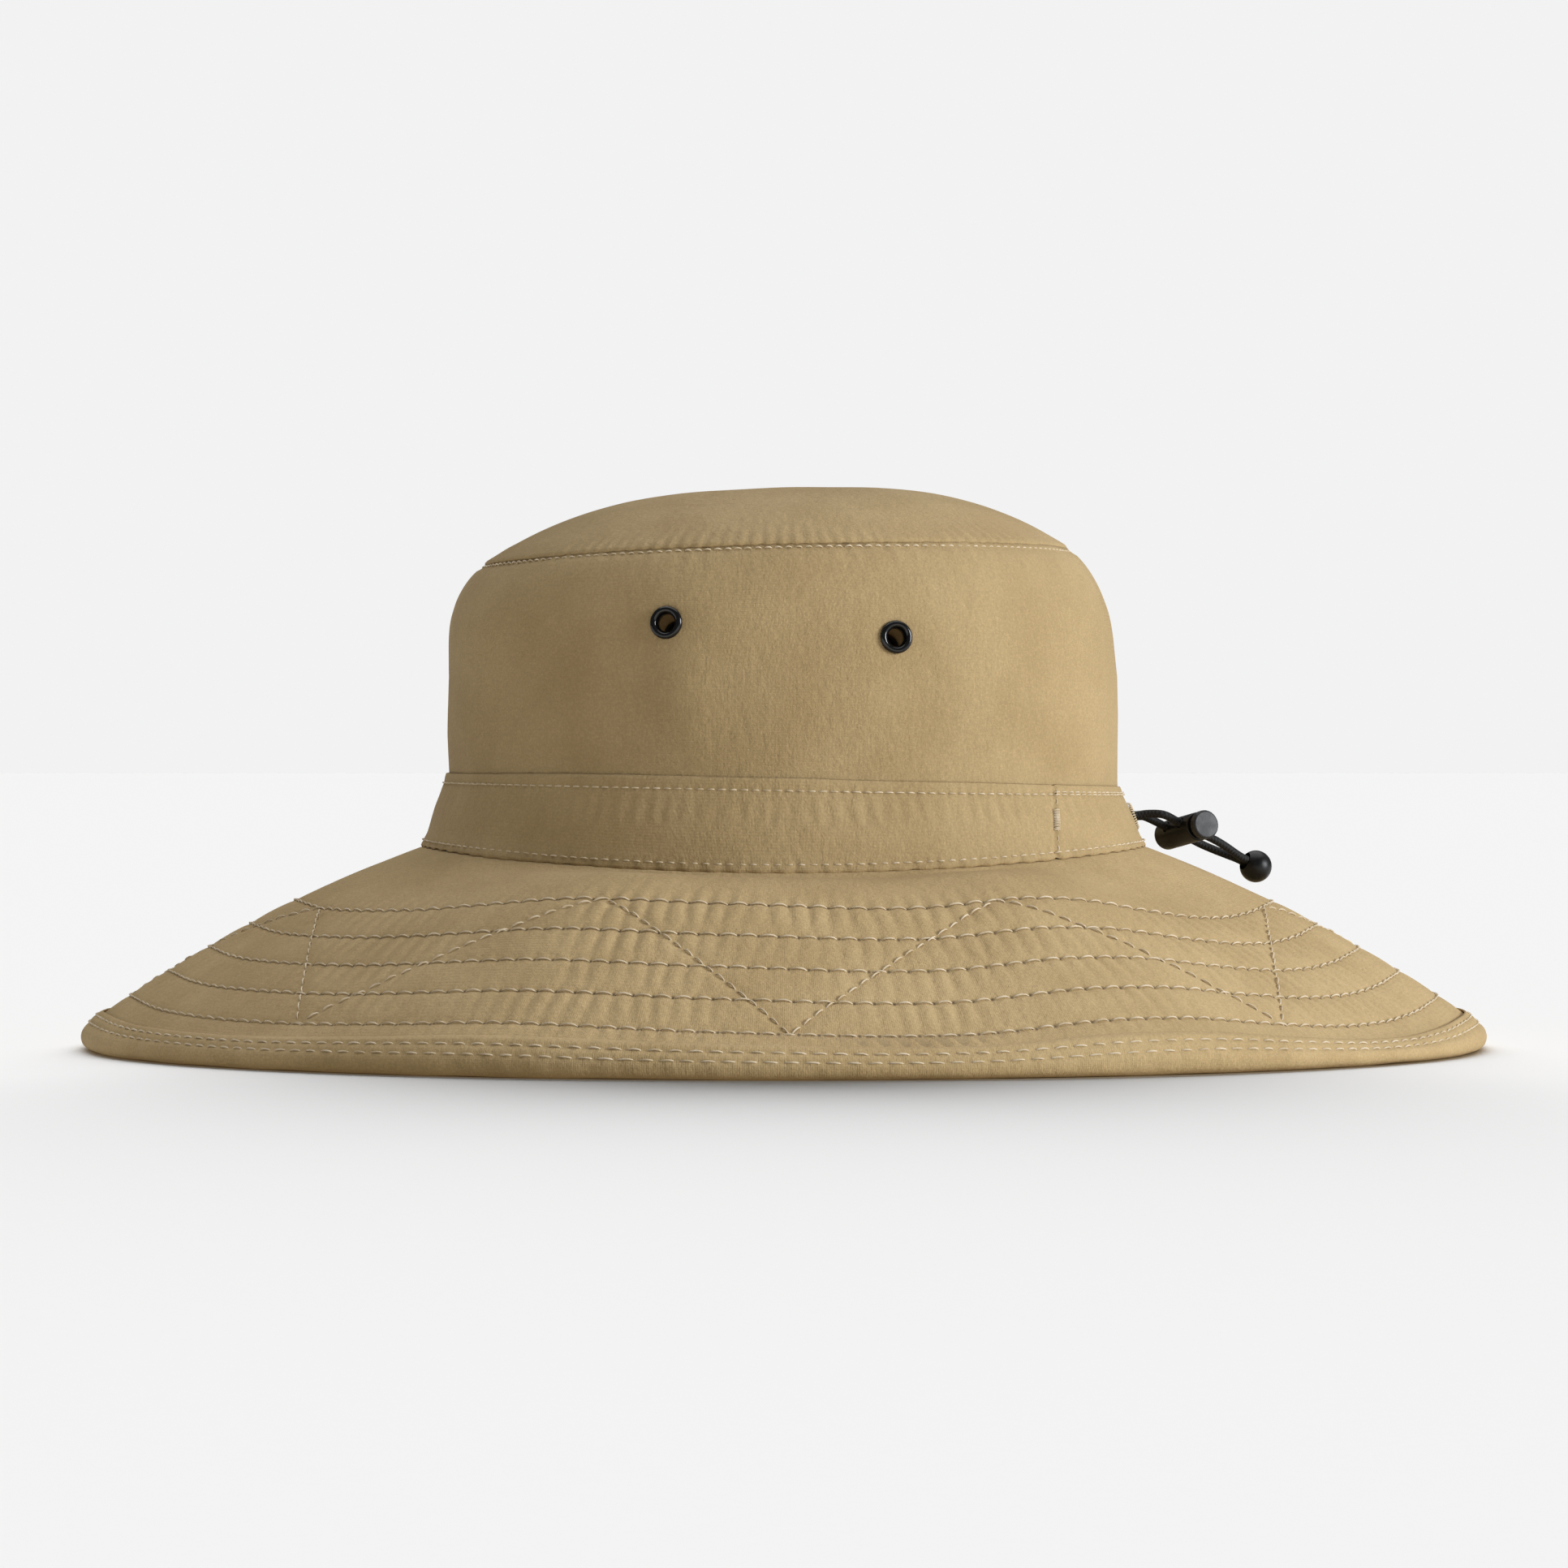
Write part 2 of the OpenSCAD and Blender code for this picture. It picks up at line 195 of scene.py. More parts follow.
def clothShader(rows=(), lift=1.0):
    # rows are (height in the piece's row map, stitches round the hat, stitch length), and lift
    # is painted light: it scales the crown's cloth colour up for pieces of the same cloth
    def make(wires):
        place = wires.objectPlace()
        weavePlace = wires.clothPlace("weave")
        patches = wires.noise(place, 38, 3, 0.55).fade(0.3, 0.7)
        # lift brightens both tones as painted light
        dark, light = (shade(*[lift * c for c in clothFinish[key]]) for key in ("dark", "light"))
        colour = wires.mixed(patches, dark, light)
        speck = wires.noise(place, 1500, 2, 0.6).fade(0.35, 0.75, 0.90, 1.07)
        colour = wires.node("ShaderNodeVectorMath", {0: colour, 3: speck}, operation="SCALE")
        warp = abs(wires.across(weavePlace, 0) / clothFinish["thread"] % 1 - 0.5)
        weft = abs(wires.across(weavePlace, 1) / clothFinish["thread"] % 1 - 0.5)
        weave = warp + weft
        crinkle = wires.noise(wires.stretched(place, (1, 1, 0.6)), 380, 4, 0.66)
        fuzz = wires.noise(place, 2600, 1, 0.5)
        relief = wires.bump(crinkle, 0.0006, 0.8)
        relief = wires.bump(weave + fuzz, clothFinish["grain"], 0.6, relief)
        if rows:
            seam = wires.clothPlace("rows")
            holeDentsAndShade = None
            for height, count, pitch in rows:
                along = ((wires.across(seam, 0) * count + 0.5).fraction() - 0.5) * pitch
                off = wires.across(seam, 1) - height
                reach = wires.maths("SQRT", along * along + off * off * 0.7)
                # Each needle hole's mask, used both for a bump dent and for painted shade in the colour
                hole = reach.fade(0.0001, 0.0008, 1.0, 0.0)
                holeDentsAndShade = hole if holeDentsAndShade is None else wires.maths("MAXIMUM", holeDentsAndShade, hole)
            # Painted shade: the colour is darkened in each needle hole
            colour = wires.mixed(holeDentsAndShade * 0.85, colour, shade(*clothFinish["hole"]))
            relief = wires.bump(holeDentsAndShade, 0.0007, -1.0, relief)
        return {
            "Base Color": colour,
            "Roughness": clothFinish["roughness"],
            "Sheen Weight": 0.03,
            "Sheen Roughness": 0.5,
            "Specular IOR Level": 0.2,
            "Normal": relief,
        }
    return make


def plainCloth(tone, bumpHeight=0.0002):
    def make(wires):
        place = wires.objectPlace()
        patches = wires.noise(place, 900, 3, 0.6).fade(0.3, 0.7, 0.85, 1.08)
        colour = wires.node("ShaderNodeVectorMath", {0: tone, 3: patches}, operation="SCALE")
        weavePlace = wires.clothPlace("weave")
        ribs = abs(wires.across(weavePlace, 0) / 0.0006 % 1 - 0.5)
        ribs = ribs + abs(wires.across(weavePlace, 1) / 0.0006 % 1 - 0.5)
        return {
            "Base Color": colour,
            "Roughness": 0.85,
            "Sheen Weight": 0.1,
            "Normal": wires.bump(ribs + wires.noise(place, 1400, 2), bumpHeight, 0.7),
        }
    return make


def threadShader(wires):
    place = wires.objectPlace()
    tone = wires.noise(place, 260, 2).fade(0.3, 0.7)
    colour = wires.mixed(tone, shade(0.52, 0.41, 0.25), shade(0.70, 0.59, 0.42))
    twist = wires.noise(wires.stretched(place, (1, 1, 2)), 3200, 1)
    return {
        "Base Color": colour,
        "Roughness": 0.5,
        "Normal": wires.bump(twist, 0.00012, 0.6),
    }


def cordShader(wires):
    # A braided cover: two sets of slanting ribs
    seam = wires.clothPlace("braid")
    around = wires.across(seam, 0)
    along = wires.across(seam, 1)
    ribs = abs((along / 0.0011 + around * 3) % 1 - 0.5) + abs((along / 0.0011 - around * 3) % 1 - 0.5)
    fuzz = wires.noise(wires.objectPlace(), 2400, 2)
    # Painted shade: the braid is coloured darker in the grooves between the ribs than on their crowns
    colour = wires.mixed(ribs.fade(0.3, 0.9), shade(0.003, 0.003, 0.003), shade(0.012, 0.0115, 0.011))
    return {
        "Base Color": colour,
        "Roughness": 0.62,
        "Specular IOR Level": 0.3,
        "Normal": wires.bump(ribs + fuzz * 0.4, 0.00016, 0.8),
    }


def mouldedShader(tone, roughness, grain):
    def make(wires):
        place = wires.objectPlace()
        speck = wires.noise(place, 1900, 3, 0.6)
        scuffs = wires.noise(place, 240, 3, 0.6)
        colour = wires.mixed(scuffs.fade(0.45, 0.75), shade(*tone), shade(*[1.5 * c for c in tone]))
        return {
            "Base Color": colour,
            "Roughness": scuffs.fade(0.3, 0.7, roughness - 0.06, roughness + 0.06),
            "Specular IOR Level": 0.3,
            "Normal": wires.bump(speck, grain, 0.5),
        }
    return make


def metalShader(tone, roughness, metallic, gleam=0.5):
    def make(wires):
        place = wires.objectPlace()
        wear = wires.noise(place, 520, 3, 0.6)
        colour = wires.mixed(wear.fade(0.5, 0.8), shade(*tone), shade(*[1.6 * c for c in tone]))
        return {
            "Base Color": colour,
            "Metallic": metallic,
            "Roughness": wear.fade(0.3, 0.7, roughness * 0.8, roughness * 1.3),
            "Specular IOR Level": gleam,
            "Normal": wires.bump(wear, 0.00004, 0.4),
        }
    return make


finish = {
    "thread": newMaterial("creamThread", threadShader),
    "lining": newMaterial("liningCloth", plainCloth((0.36, 0.27, 0.155))),
    "label": newMaterial("blankLabel", plainCloth((0.72, 0.70, 0.64), 0.0001)),
    "interlining": newMaterial("interlining", plainCloth((0.55, 0.50, 0.42))),
    "cord": newMaterial("braidedCord", cordShader),
    "lock": newMaterial("lockPlastic", mouldedShader((0.004, 0.0038, 0.0035), 0.38, 0.00003)),
    "button": newMaterial("buttonPlastic", mouldedShader((0.020, 0.020, 0.020), 0.45, 0.00006)),
    "ball": newMaterial("ballRubber", mouldedShader((0.004, 0.0039, 0.0038), 0.36, 0.00003)),
    "spring": newMaterial("springSteel", metalShader((0.5, 0.5, 0.5), 0.25, 1.0)),
    "eyelet": newMaterial("blackEnamel", metalShader((0.004, 0.004, 0.004), 0.14, 0.0, 0.45)),
    "washer": newMaterial("blackWasher", metalShader((0.02, 0.02, 0.02), 0.35, 0.6)),
}
print("finishes made")

oval = {
    "crownShare": 0.82,         # width over length
    "bandHalf": 0.106,
    "sideFlare": 1.06,
    "tipHalf": 0.084,
    "tipSeam": 0.1447,
    "tipSideRise": 0.0012,
    "tipTilt": 0.0024,
    "hatHeight": 0.163,
}
brim = {
    "edge": 0.2001,
    "base": 0.0584,
    "slope": 0.371,
    "droop": 1.65,
    "cloth": 0.0009,
    "depth": 0.0027,
    "rows": (0.143, 0.156, 0.168, 0.1795, 0.1907),
    "stitch": 0.0054,
    "zigzagStitch": 0.0047,
    "steps": 1150,
    "rowStep": 0.0011,
    "top": (0.0994, 0.1345, 0.1991),            # start, start of the fine rows, end
    "under": (0.0976, 0.136, 0.1978),
    "underStep": 0.0016,
    "underSteps": 820,
    "backHalves": (0.115, 0.13, 0.15, 0.17, 0.185),
}
# Half-length of the brim against its rise at the sides of the hat
sideRises = [
    (0.106, -0.0063), (0.125, 0.0003), (0.143, 0.0026), (0.160, 0.0007), (0.180, -0.0017),
    (0.1967, -0.0022), (0.2016, 0.0), (0.206, 0.0),
]
# Height of the wall against its rise at the sides and towards the back
wallRises = [(0.0596, -0.0063, 0.0), (0.0775, 0.0005, -0.002), (0.1447, 0.0012, 0.0024)]


def wrapped(angle):
    return (angle + math.pi) % fullTurn - math.pi


def bell(x, width):
    # 1 at nothing, falling smoothly to 0 on both sides
    return np.exp(-(x / width) ** 2)


def rising(x, span):
    # 0 up to nothing, then evenly to 1 over the span
    return np.clip(x / span, 0, 1)


def lengthsAlong(line):
    # How far each point is from the first, along the line
    steps = np.linalg.norm(np.diff(line, axis=0), axis=1)
    return np.concatenate([[0], np.cumsum(steps)])


# Azimuth in degrees against the wave that runs round the quilted brim
brimWaves = [
    (-180, 0), (-168, 0.0005), (-157, -0.0012), (-145, -0.0019), (-134, -0.0016), (-124, -0.0002),
    (-114, 0.0012), (-96, -0.0003), (-75, -0.0014), (-62, 0.0015), (-55, 0.0011), (-45, -0.0019),
    (-37, -0.0037), (-29, -0.0039), (-22, -0.0027), (-13, -0.0005), (-6, 0), (8, 0), (20, 0.0014),
    (34, 0.0022), (47, 0.0014), (60, -0.0008), (78, 0.0008), (95, -0.0010), (112, 0.0012),
    (128, -0.0012), (145, 0.0006), (160, -0.0008), (180, 0),
]


def smoothLookup(x, table):
    # A smooth line through the table's points, level outside them
    places = np.array([row[0] for row in table])
    values = np.array([row[1] for row in table])
    slopes = np.gradient(values, places)
    slopes[0] = slopes[-1] = 0
    x = np.clip(x, places[0], places[-1])
    i = np.clip(np.searchsorted(places, x) - 1, 0, len(places) - 2)
    width = places[i + 1] - places[i]
    s = (x - places[i]) / width
    return (
        values[i] * (1 + 2 * s) * (1 - s) ** 2 + values[i + 1] * s * s * (3 - 2 * s)
        + width * (slopes[i] * s * (1 - s) ** 2 - slopes[i + 1] * s * s * (1 - s))
    )


def halfWidth(a):
    run = np.maximum(a - oval["bandHalf"], 0)
    return oval["crownShare"] * a + oval["sideFlare"] * run ** 2


def carried(a, z, t, sideRise, endRise=0.0):
    # A section's point taken round the hat to azimuth t
    x = a * np.cos(t) - np.maximum(endRise, 0)
    y = halfWidth(a) * np.sin(t)
    up = z + sideRise * np.sin(t) ** 2 + endRise * np.cos(t)
    return np.stack(np.broadcast_arrays(x, y, up), axis=-1)


def onBrim(a, z, t):
    # The waves fade out at the band and at the ground
    fade = rising(a - 0.108, 0.02) * rising(z, 0.012)
    wave = fade * smoothLookup(np.degrees(wrapped(t)), brimWaves)
    return carried(a, z + wave, t, smoothLookup(a, sideRises))


def onWall(a, z, t):
    heights, sides, ends = zip(*wallRises)
    return carried(a, z, t, np.interp(z, heights, sides), np.interp(z, heights, ends))


def onTip(a, z, t):
    share = np.minimum(a / oval["tipHalf"], 1.03)
    return carried(a, z, t, oval["tipSideRise"] * share ** 3, oval["tipTilt"] * share)


def brimHeight(a, depth=0.0):
    run = a - oval["bandHalf"]
    slope = brim["slope"] + 2 * brim["droop"] * run
    middle = brim["base"] - brim["slope"] * run - brim["droop"] * run ** 2
    return middle - depth * np.hypot(1, slope)


def clothNoise(points, cell, seed):
    # Smooth random values from -1 to 1 whose features are about one cell across
    lattice = np.random.default_rng(seed).uniform(-1, 1, (32, 32, 32))
    spot = points / cell
    low = np.floor(spot).astype(int)
    part = spot - low
    part = part * part * (3 - 2 * part)
    total = 0
    for corner in itertools.product((0, 1), repeat=3):
        share = np.prod(np.where(corner, part, 1 - part), axis=-1)
        at = (low + corner) % 32
        total = total + share * lattice[at[..., 0], at[..., 1], at[..., 2]]
    return total


def wrinkles(points, layers):
    # Unevenness from layers of (height, size of a feature, seed)
    return sum(height * clothNoise(points, cell, seed) for height, cell, seed in layers)


def smoothRoute(points, parts):
    # A smooth curve through the points
    points = [Vector(point) for point in points]
    ends = [2 * points[0] - points[1], *points, 2 * points[-1] - points[-2]]
    route = []
    for before, first, second, after in zip(ends, ends[1:], ends[2:], ends[3:]):
        for step in range(parts):
            s = step / parts
            bend = (2 * before - 5 * first + 4 * second - after) * s * s
            twist = (3 * first - before - 3 * second + after) * s ** 3
            route.append(0.5 * (2 * first + (second - before) * s + bend + twist))
    return route + [points[-1]]


def evenLine(points, spacing):
    # The section's points, (half-length, height), respaced along a smooth line through them
    line = np.array([tuple(p) for p in smoothRoute([(a, 0, z) for a, z in points], 12)])
    along = lengthsAlong(line)
    count = max(2, round(along[-1] / spacing) + 1)
    places = np.linspace(0, along[-1], count)
    return list(zip(np.interp(places, along, line[:, 0]), np.interp(places, along, line[:, 2])))


def turnShare(t):
    # How far round the middle of the brim an azimuth is, as a share of the whole way
    return np.interp(t % fullTurn, shareTurns, shares)


shareTurns = np.linspace(0, fullTurn, 2001)
middleRim = onBrim(np.full(2001, 0.167), np.zeros(2001), shareTurns)[:, :2]
shares = lengthsAlong(middleRim)
shares = shares / shares[-1]


def wayRound(a):
    # Length of the way round at one half-length
    x, y = a * np.cos(shareTurns), halfWidth(a) * np.sin(shareTurns)
    return np.sum(np.hypot(np.diff(x), np.diff(y)))


def stitchCount(a, stitch):
    return round(wayRound(a) / stitch)


def finished(name, bm, material, body="hat", nodes=()):
    return dressed(name, meshFrom(name, bm), material, body, nodes)


def smoothed(mesh, material):
    mesh.materials.clear()
    mesh.materials.append(material)
    mesh.polygons.foreach_set("use_smooth", [True] * len(mesh.polygons))


def dressed(name, mesh, material, body="hat", nodes=()):
    smoothed(mesh, material)
    piece = linked(name, mesh)
    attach(piece, body)
    if nodes:
        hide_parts(*nodes)
    return piece


sectorSteps = 20


def outline(bm, points, closed):
    # Joins the points into a line, and gives all of it
    made = [bm.verts.new(point) for point in points]
    pairs = list(zip(made, made[1:] + made[:1]))
    return made + [bm.edges.new(pair) for pair in (pairs if closed else pairs[:-1])]


def spin(bm, geom, steps, angle=fullTurn, axis=(0, 0, 1), merge=True, rise=(0, 0, 0)):
    bmesh.ops.spin(
        bm, geom=geom, cent=(0, 0, 0), axis=axis, dvec=rise, angle=angle, steps=steps,
        use_merge=merge, use_normal_flip=False, use_duplicate=False,
    )


def spunSheet(face, back, steps, turn=(0, fullTurn)):
    # A closed section of a face line and a back line, or an open one of the face alone, spun round
    # the axis. One sector is spun and then repeated, which is much quicker than one long spin.
    line = list(face) + list(reversed(back))
    bm = bmesh.new()
    sectors = steps // sectorSteps
    sector = (turn[1] - turn[0]) / sectors
    spin(bm, outline(bm, [(a, 0, z) for a, z in line], bool(back)), sectorSteps, sector, merge=False)
    part = meshFrom("sector", bm)
    whole = bmesh.new()
    part.transform(Matrix.Rotation(turn[0], 4, "Z"))
    for _ in range(sectors):
        whole.from_mesh(part)
        part.transform(Matrix.Rotation(sector, 4, "Z"))
    bmesh.ops.remove_doubles(whole, verts=whole.verts, dist=0.00001)
    bmesh.ops.recalc_face_normals(whole, faces=whole.faces)
    return whole


def shapeSheet(bm, place, relief=None, back=()):
    # Takes each spun point round the oval, presses the relief into all but the back line,
    # and lays out the cloth's two maps
    mesh = meshFrom("sheet", bm)
    spun = np.empty(len(mesh.vertices) * 3)
    mesh.vertices.foreach_get("co", spun)
    spun = spun.reshape(-1, 3)
    a = np.hypot(spun[:, 0], spun[:, 1])
    t = np.arctan2(spun[:, 1], spun[:, 0])
    z = spun[:, 2]
    base = place(a, z, t)
    mesh.vertices.foreach_set("co", base.ravel())
    mesh.update()
    if relief:
        onFace = np.ones_like(a)
        for backA, backZ in back:
            onFace[np.hypot(a - backA, z - backZ) < 0.00002] = 0
        normals = np.empty(len(mesh.vertices) * 3)
        mesh.vertex_normals.foreach_get("vector", normals)
        height = relief(a, z, t, base) * onFace
        base = base + normals.reshape(-1, 3) * height[:, None]
        mesh.vertices.foreach_set("co", base.ravel())
        mesh.update()
    corners = np.empty(len(mesh.loops), int)
    mesh.loops.foreach_get("vertex_index", corners)
    sizes = np.empty(len(mesh.polygons), int)
    mesh.polygons.foreach_get("loop_total", sizes)
    starts = np.concatenate([[0], np.cumsum(sizes)[:-1]])
    first = np.repeat(t[corners[starts]], sizes)
    turned = wrapped(t[corners] - first)
    weave = np.stack([(first + turned) * 0.14, a[corners] + z[corners]], axis=1)
    rows = np.stack([turnShare(first) + turned * localRate(first), a[corners]], axis=1)
    for name, values in (("weave", weave), ("rows", rows)):
        layer = mesh.uv_layers.new(name=name)
        layer.data.foreach_set("uv", values.ravel())
    return mesh


def localRate(t):
    # How fast turnShare grows with azimuth
    step = 0.002
    grown = (turnShare(t + step) - turnShare(t - step) + 0.5) % 1 - 0.5
    return grown / (2 * step)


# Azimuths where the zigzag turns, starting at the inner row
zigzagTurns = [-157.5, -134, -110, -89.5, -66, -44.5, -15, 8, 30, 50, 70, 91, 112, 135, 158, 181]


def zigzagPath():
    # Azimuths and half-lengths along straight legs between the inner and the outer row
    inner, outer = brim["rows"][0], brim["rows"][-1]
    halves = [inner, outer] * (len(zigzagTurns) // 2)
    turns = np.radians(zigzagTurns + [zigzagTurns[0] + 360])
    halves = np.array(halves + [inner])
    ends = np.stack([halves * np.cos(turns), halfWidth(halves) * np.sin(turns)], axis=-1)
    steps = np.linspace(0, 1, 40, endpoint=False)[:, None]
    points = np.concatenate([p + (q - p) * steps for p, q in zip(ends, ends[1:])])
    low = np.full(len(points), 0.10)
    high = np.full(len(points), 0.20)
    for _ in range(30):
        middle = (low + high) / 2
        inside = (points[:, 0] / middle) ** 2 + (points[:, 1] / halfWidth(middle)) ** 2 < 1
        high = np.where(inside, middle, high)
        low = np.where(inside, low, middle)
    turn = np.arctan2(points[:, 1] / halfWidth(low), points[:, 0] / low)
    order = np.argsort(turn)
    return turn[order], low[order]


zigzagAt, zigzagHalf = zigzagPath()


def zigzagLine(t):
    return np.interp(wrapped(t), zigzagAt, zigzagHalf, period=fullTurn)


quilt = {
    "groove": 0.0005,
    "zigzagGroove": 0.0004,
    "puff": 0.00036,
    "fold": 0.00056,
    "deepest": -0.00068,
    "lastPuffEnd": 0.1972,
    "pull": [(0.8, 0.04, 11), (0.5, 0.011, 12)],
    "ripple": [(0.00022, 0.045, 5), (0.00006, 0.006, 6)],
}


def quilting(a, z, t, points):
    # The brim's relief: grooves along the stitching, soft puffs and radial puckers between
    rows = brim["rows"]
    height = np.zeros_like(a)
    groove = np.zeros_like(a)
    share = turnShare(t)
    strength = np.clip(0.5 + wrinkles(points, quilt["pull"]), 0.08, 1.3)
    edges = (*rows, quilt["lastPuffEnd"])
    for index, row in enumerate(rows):
        count = stitchCount(row, brim["stitch"])
        phase = share * count
        apart = a - row
        dip = 0.6 + 0.4 * np.cos(fullTurn * phase)
        groove = np.maximum(groove, quilt["groove"] * dip * bell(apart, 0.001))
        width = edges[index + 1] - row
        inside = rising(apart, width)
        between = (apart > 0) * (apart < width) * (1 if index < 4 else 0.5)
        puff = np.sin(math.pi * inside ** 0.8) ** 0.7 * between
        height += quilt["puff"] * puff
        drift = 0.45 * clothNoise(points, 0.014, 20 + index) * inside
        crease = (0.5 + 0.5 * np.cos(fullTurn * (phase + drift))) ** 2
        height -= quilt["fold"] * crease * puff * (1.2 - 0.7 * inside) * strength
    inner = bell(a - rows[0], 0.007) * (a < rows[0])
    count = stitchCount(rows[0], brim["stitch"])
    height -= 0.00016 * inner * np.cos(fullTurn * share * count) * strength
    away = (a - zigzagLine(t)) * 0.62
    away = np.where(np.abs(away) < 0.004, away, 0.004)
    onZigzag = (a > rows[0] - 0.001) * (a < rows[-1] + 0.001)
    line = quilt["zigzagGroove"] * bell(away, 0.0012) * onZigzag
    ripple = wrinkles(points, quilt["ripple"])
    return np.maximum(height + ripple - np.maximum(groove, line), quilt["deepest"])


def rowHoles(rows, stitch):
    return [(row, stitchCount(row, stitch), stitch) for row in rows]


# The brim and its binding are the crown's cloth with its colour 1.12 times lighter: painted light
brimClothLitCopy = newMaterial("brimClothLitCopy", clothShader(rowHoles(brim["rows"], brim["stitch"]), 1.12))
bindingClothLitCopy = newMaterial("bindingClothLitCopy", clothShader((), 1.12))
hatCloth = newMaterial("hatCloth", clothShader())


def makeBrimCloth(name, node, span, coarse, rowStep, depths, steps):
    # One quilted cloth, with coarse rows near the crown and fine ones under the stitching
    start, fine, end = span
    a = list(np.linspace(start, fine, coarse)[:-1]) + list(np.arange(fine, end, rowStep))
    face = [(r, brimHeight(r, depths[0])) for r in a]
    back = [(r, brimHeight(r, depths[1])) for r in (a[0], *brim["backHalves"], a[-1])]
    mesh = shapeSheet(spunSheet(face, back, steps), onBrim, quilting, back)
    dressed(name, mesh, brimClothLitCopy, nodes=[node])


stiffener = {"start": 0.1032, "end": 0.1965, "upper": 0.00097, "lower": 0.00173}


def makeStiffener():
    a = np.linspace(stiffener["start"], stiffener["end"], 30)
    face = [(r, brimHeight(r, stiffener["upper"])) for r in a]
    back = [(r, brimHeight(r, stiffener["lower"])) for r in a]
    mesh = shapeSheet(spunSheet(face, back, 300), onBrim)
    dressed("brimStiffener", mesh, finish["interlining"], nodes=["brim_stiffener"])


bindingFace = [
    (0.1989, brimHeight(0.1989) + 0.00015), (0.1985, brimHeight(0.1985) + 0.0007),
    (0.1991, brimHeight(0.1991) + 0.00105), (0.2003, brimHeight(0.2003) + 0.00105),
    (0.2012, 0.0092), (0.2030, 0.0072), (0.2044, 0.0056), (0.2050, 0.0036), (0.2043, 0.0013),
    (0.2022, 0.0001), (0.2002, 0.0005), (0.1990, 0.0032), (0.1967, 0.0058),
]
bindingLine = evenLine(bindingFace, 0.0006)
bindingAlong = lengthsAlong(bindingLine)
bindingRows = {"first": (0.0030, 0.0032), "second": (0.0059, 0.0035), "stitch": 0.0054}


def bindingAt(along):
    return (
        np.interp(along, bindingAlong, [p[0] for p in bindingLine]),
        np.interp(along, bindingAlong, [p[1] for p in bindingLine]),
    )


def bindingPlace(along, t):
    a, z = bindingAt(along)
    return onBrim(a, z, t)


def bindingRow(which, t):
    # A binding row lies further down the roll at the hat's sides
    start, shift = bindingRows[which]
    return start + shift * np.sin(t) ** 2


def bindingRelief(a, z, t, points):
    # Nearest place along the binding's line, from its section point
    along = np.zeros_like(a)
    nearest = np.full_like(a, 1.0)
    for (lineA, lineZ), place in zip(bindingLine, bindingAlong):
        gap = np.hypot(a - lineA, z - lineZ)
        along = np.where(gap < nearest, place, along)
        nearest = np.minimum(gap, nearest)
    height = 0.00012 * clothNoise(points, 0.012, 31)
    share = turnShare(t) * stitchCount(0.2, bindingRows["stitch"])
    for index, which in enumerate(("first", "second")):
        apart = along - bindingRow(which, t)
        dip = 0.7 + 0.3 * np.cos(fullTurn * (share + 0.37 * index))
        height -= 0.00042 * dip * bell(apart, 0.0008)
    below = rising(along - bindingRow("second", t), 0.006)
    folds = np.cos(fullTurn * (share * 0.5 + clothNoise(points, 0.03, 33)))
    return height + 0.00010 * folds * np.sin(math.pi * below)


def makeBinding():
    back = [(0.1992, brimHeight(0.1992) + 0.0001), (0.1980, brimHeight(0.1980, brim["depth"]) - 0.0001)]
    mesh = shapeSheet(spunSheet(bindingLine, back, 1000), onBrim, bindingRelief, back)
    dressed("brimBinding", mesh, bindingClothLitCopy, nodes=["brim_binding"])


crown = {
    "wall": [
        (0.0984, 0.0605), (0.0978, 0.079), (0.0977, 0.102), (0.0967, 0.121), (0.0944, 0.130),
        (0.0912, 0.1363), (0.0878, 0.1406), (0.0847, 0.1432),
    ],
    "cloth": 0.001,
    "seamStitch": 0.0028,
    "ventHoleRadius": 0.0034,
    "ventTurn": math.radians(19.3),
    "ventHeights": {"front": 0.1215, "back": 0.117},
    "wrinkles": [(0.00055, 0.05, 41), (0.00022, 0.017, 42), (0.00006, 0.006, 43)],
    "folds": ((-117, -0.0007), (-106, 0.0006), (-66, -0.0004), (-75, 0.0003)),
    "foldHeight": 0.103,
    "seamHeight": 0.1432,
}
seamWay = wayRound(0.0855)
seamCount = round(seamWay / crown["seamStitch"])


def ventMatrix(end, side):
    # A vent's own frame on the crown wall, +Z out of the hat
    height = crown["ventHeights"]["front" if end < 0 else "back"]
    t = side * (math.pi / 2 - end * crown["ventTurn"])
    heights = [p[1] for p in crown["wall"]]
    a = float(np.interp(height, heights, [p[0] for p in crown["wall"]]))
    place = Vector(onWall(a, height, t))
    turn = math.atan2(math.sin(t) / float(halfWidth(a)), math.cos(t) / a)
    return Matrix.Translation(place) @ Euler((0, math.radians(84), turn)).to_matrix().to_4x4()


vents = {
    endName + "_" + sideName: ventMatrix(end, side)
    for endName, end in (("front", -1), ("back", 1))
    for sideName, side in (("left", -1), ("right", 1))
}


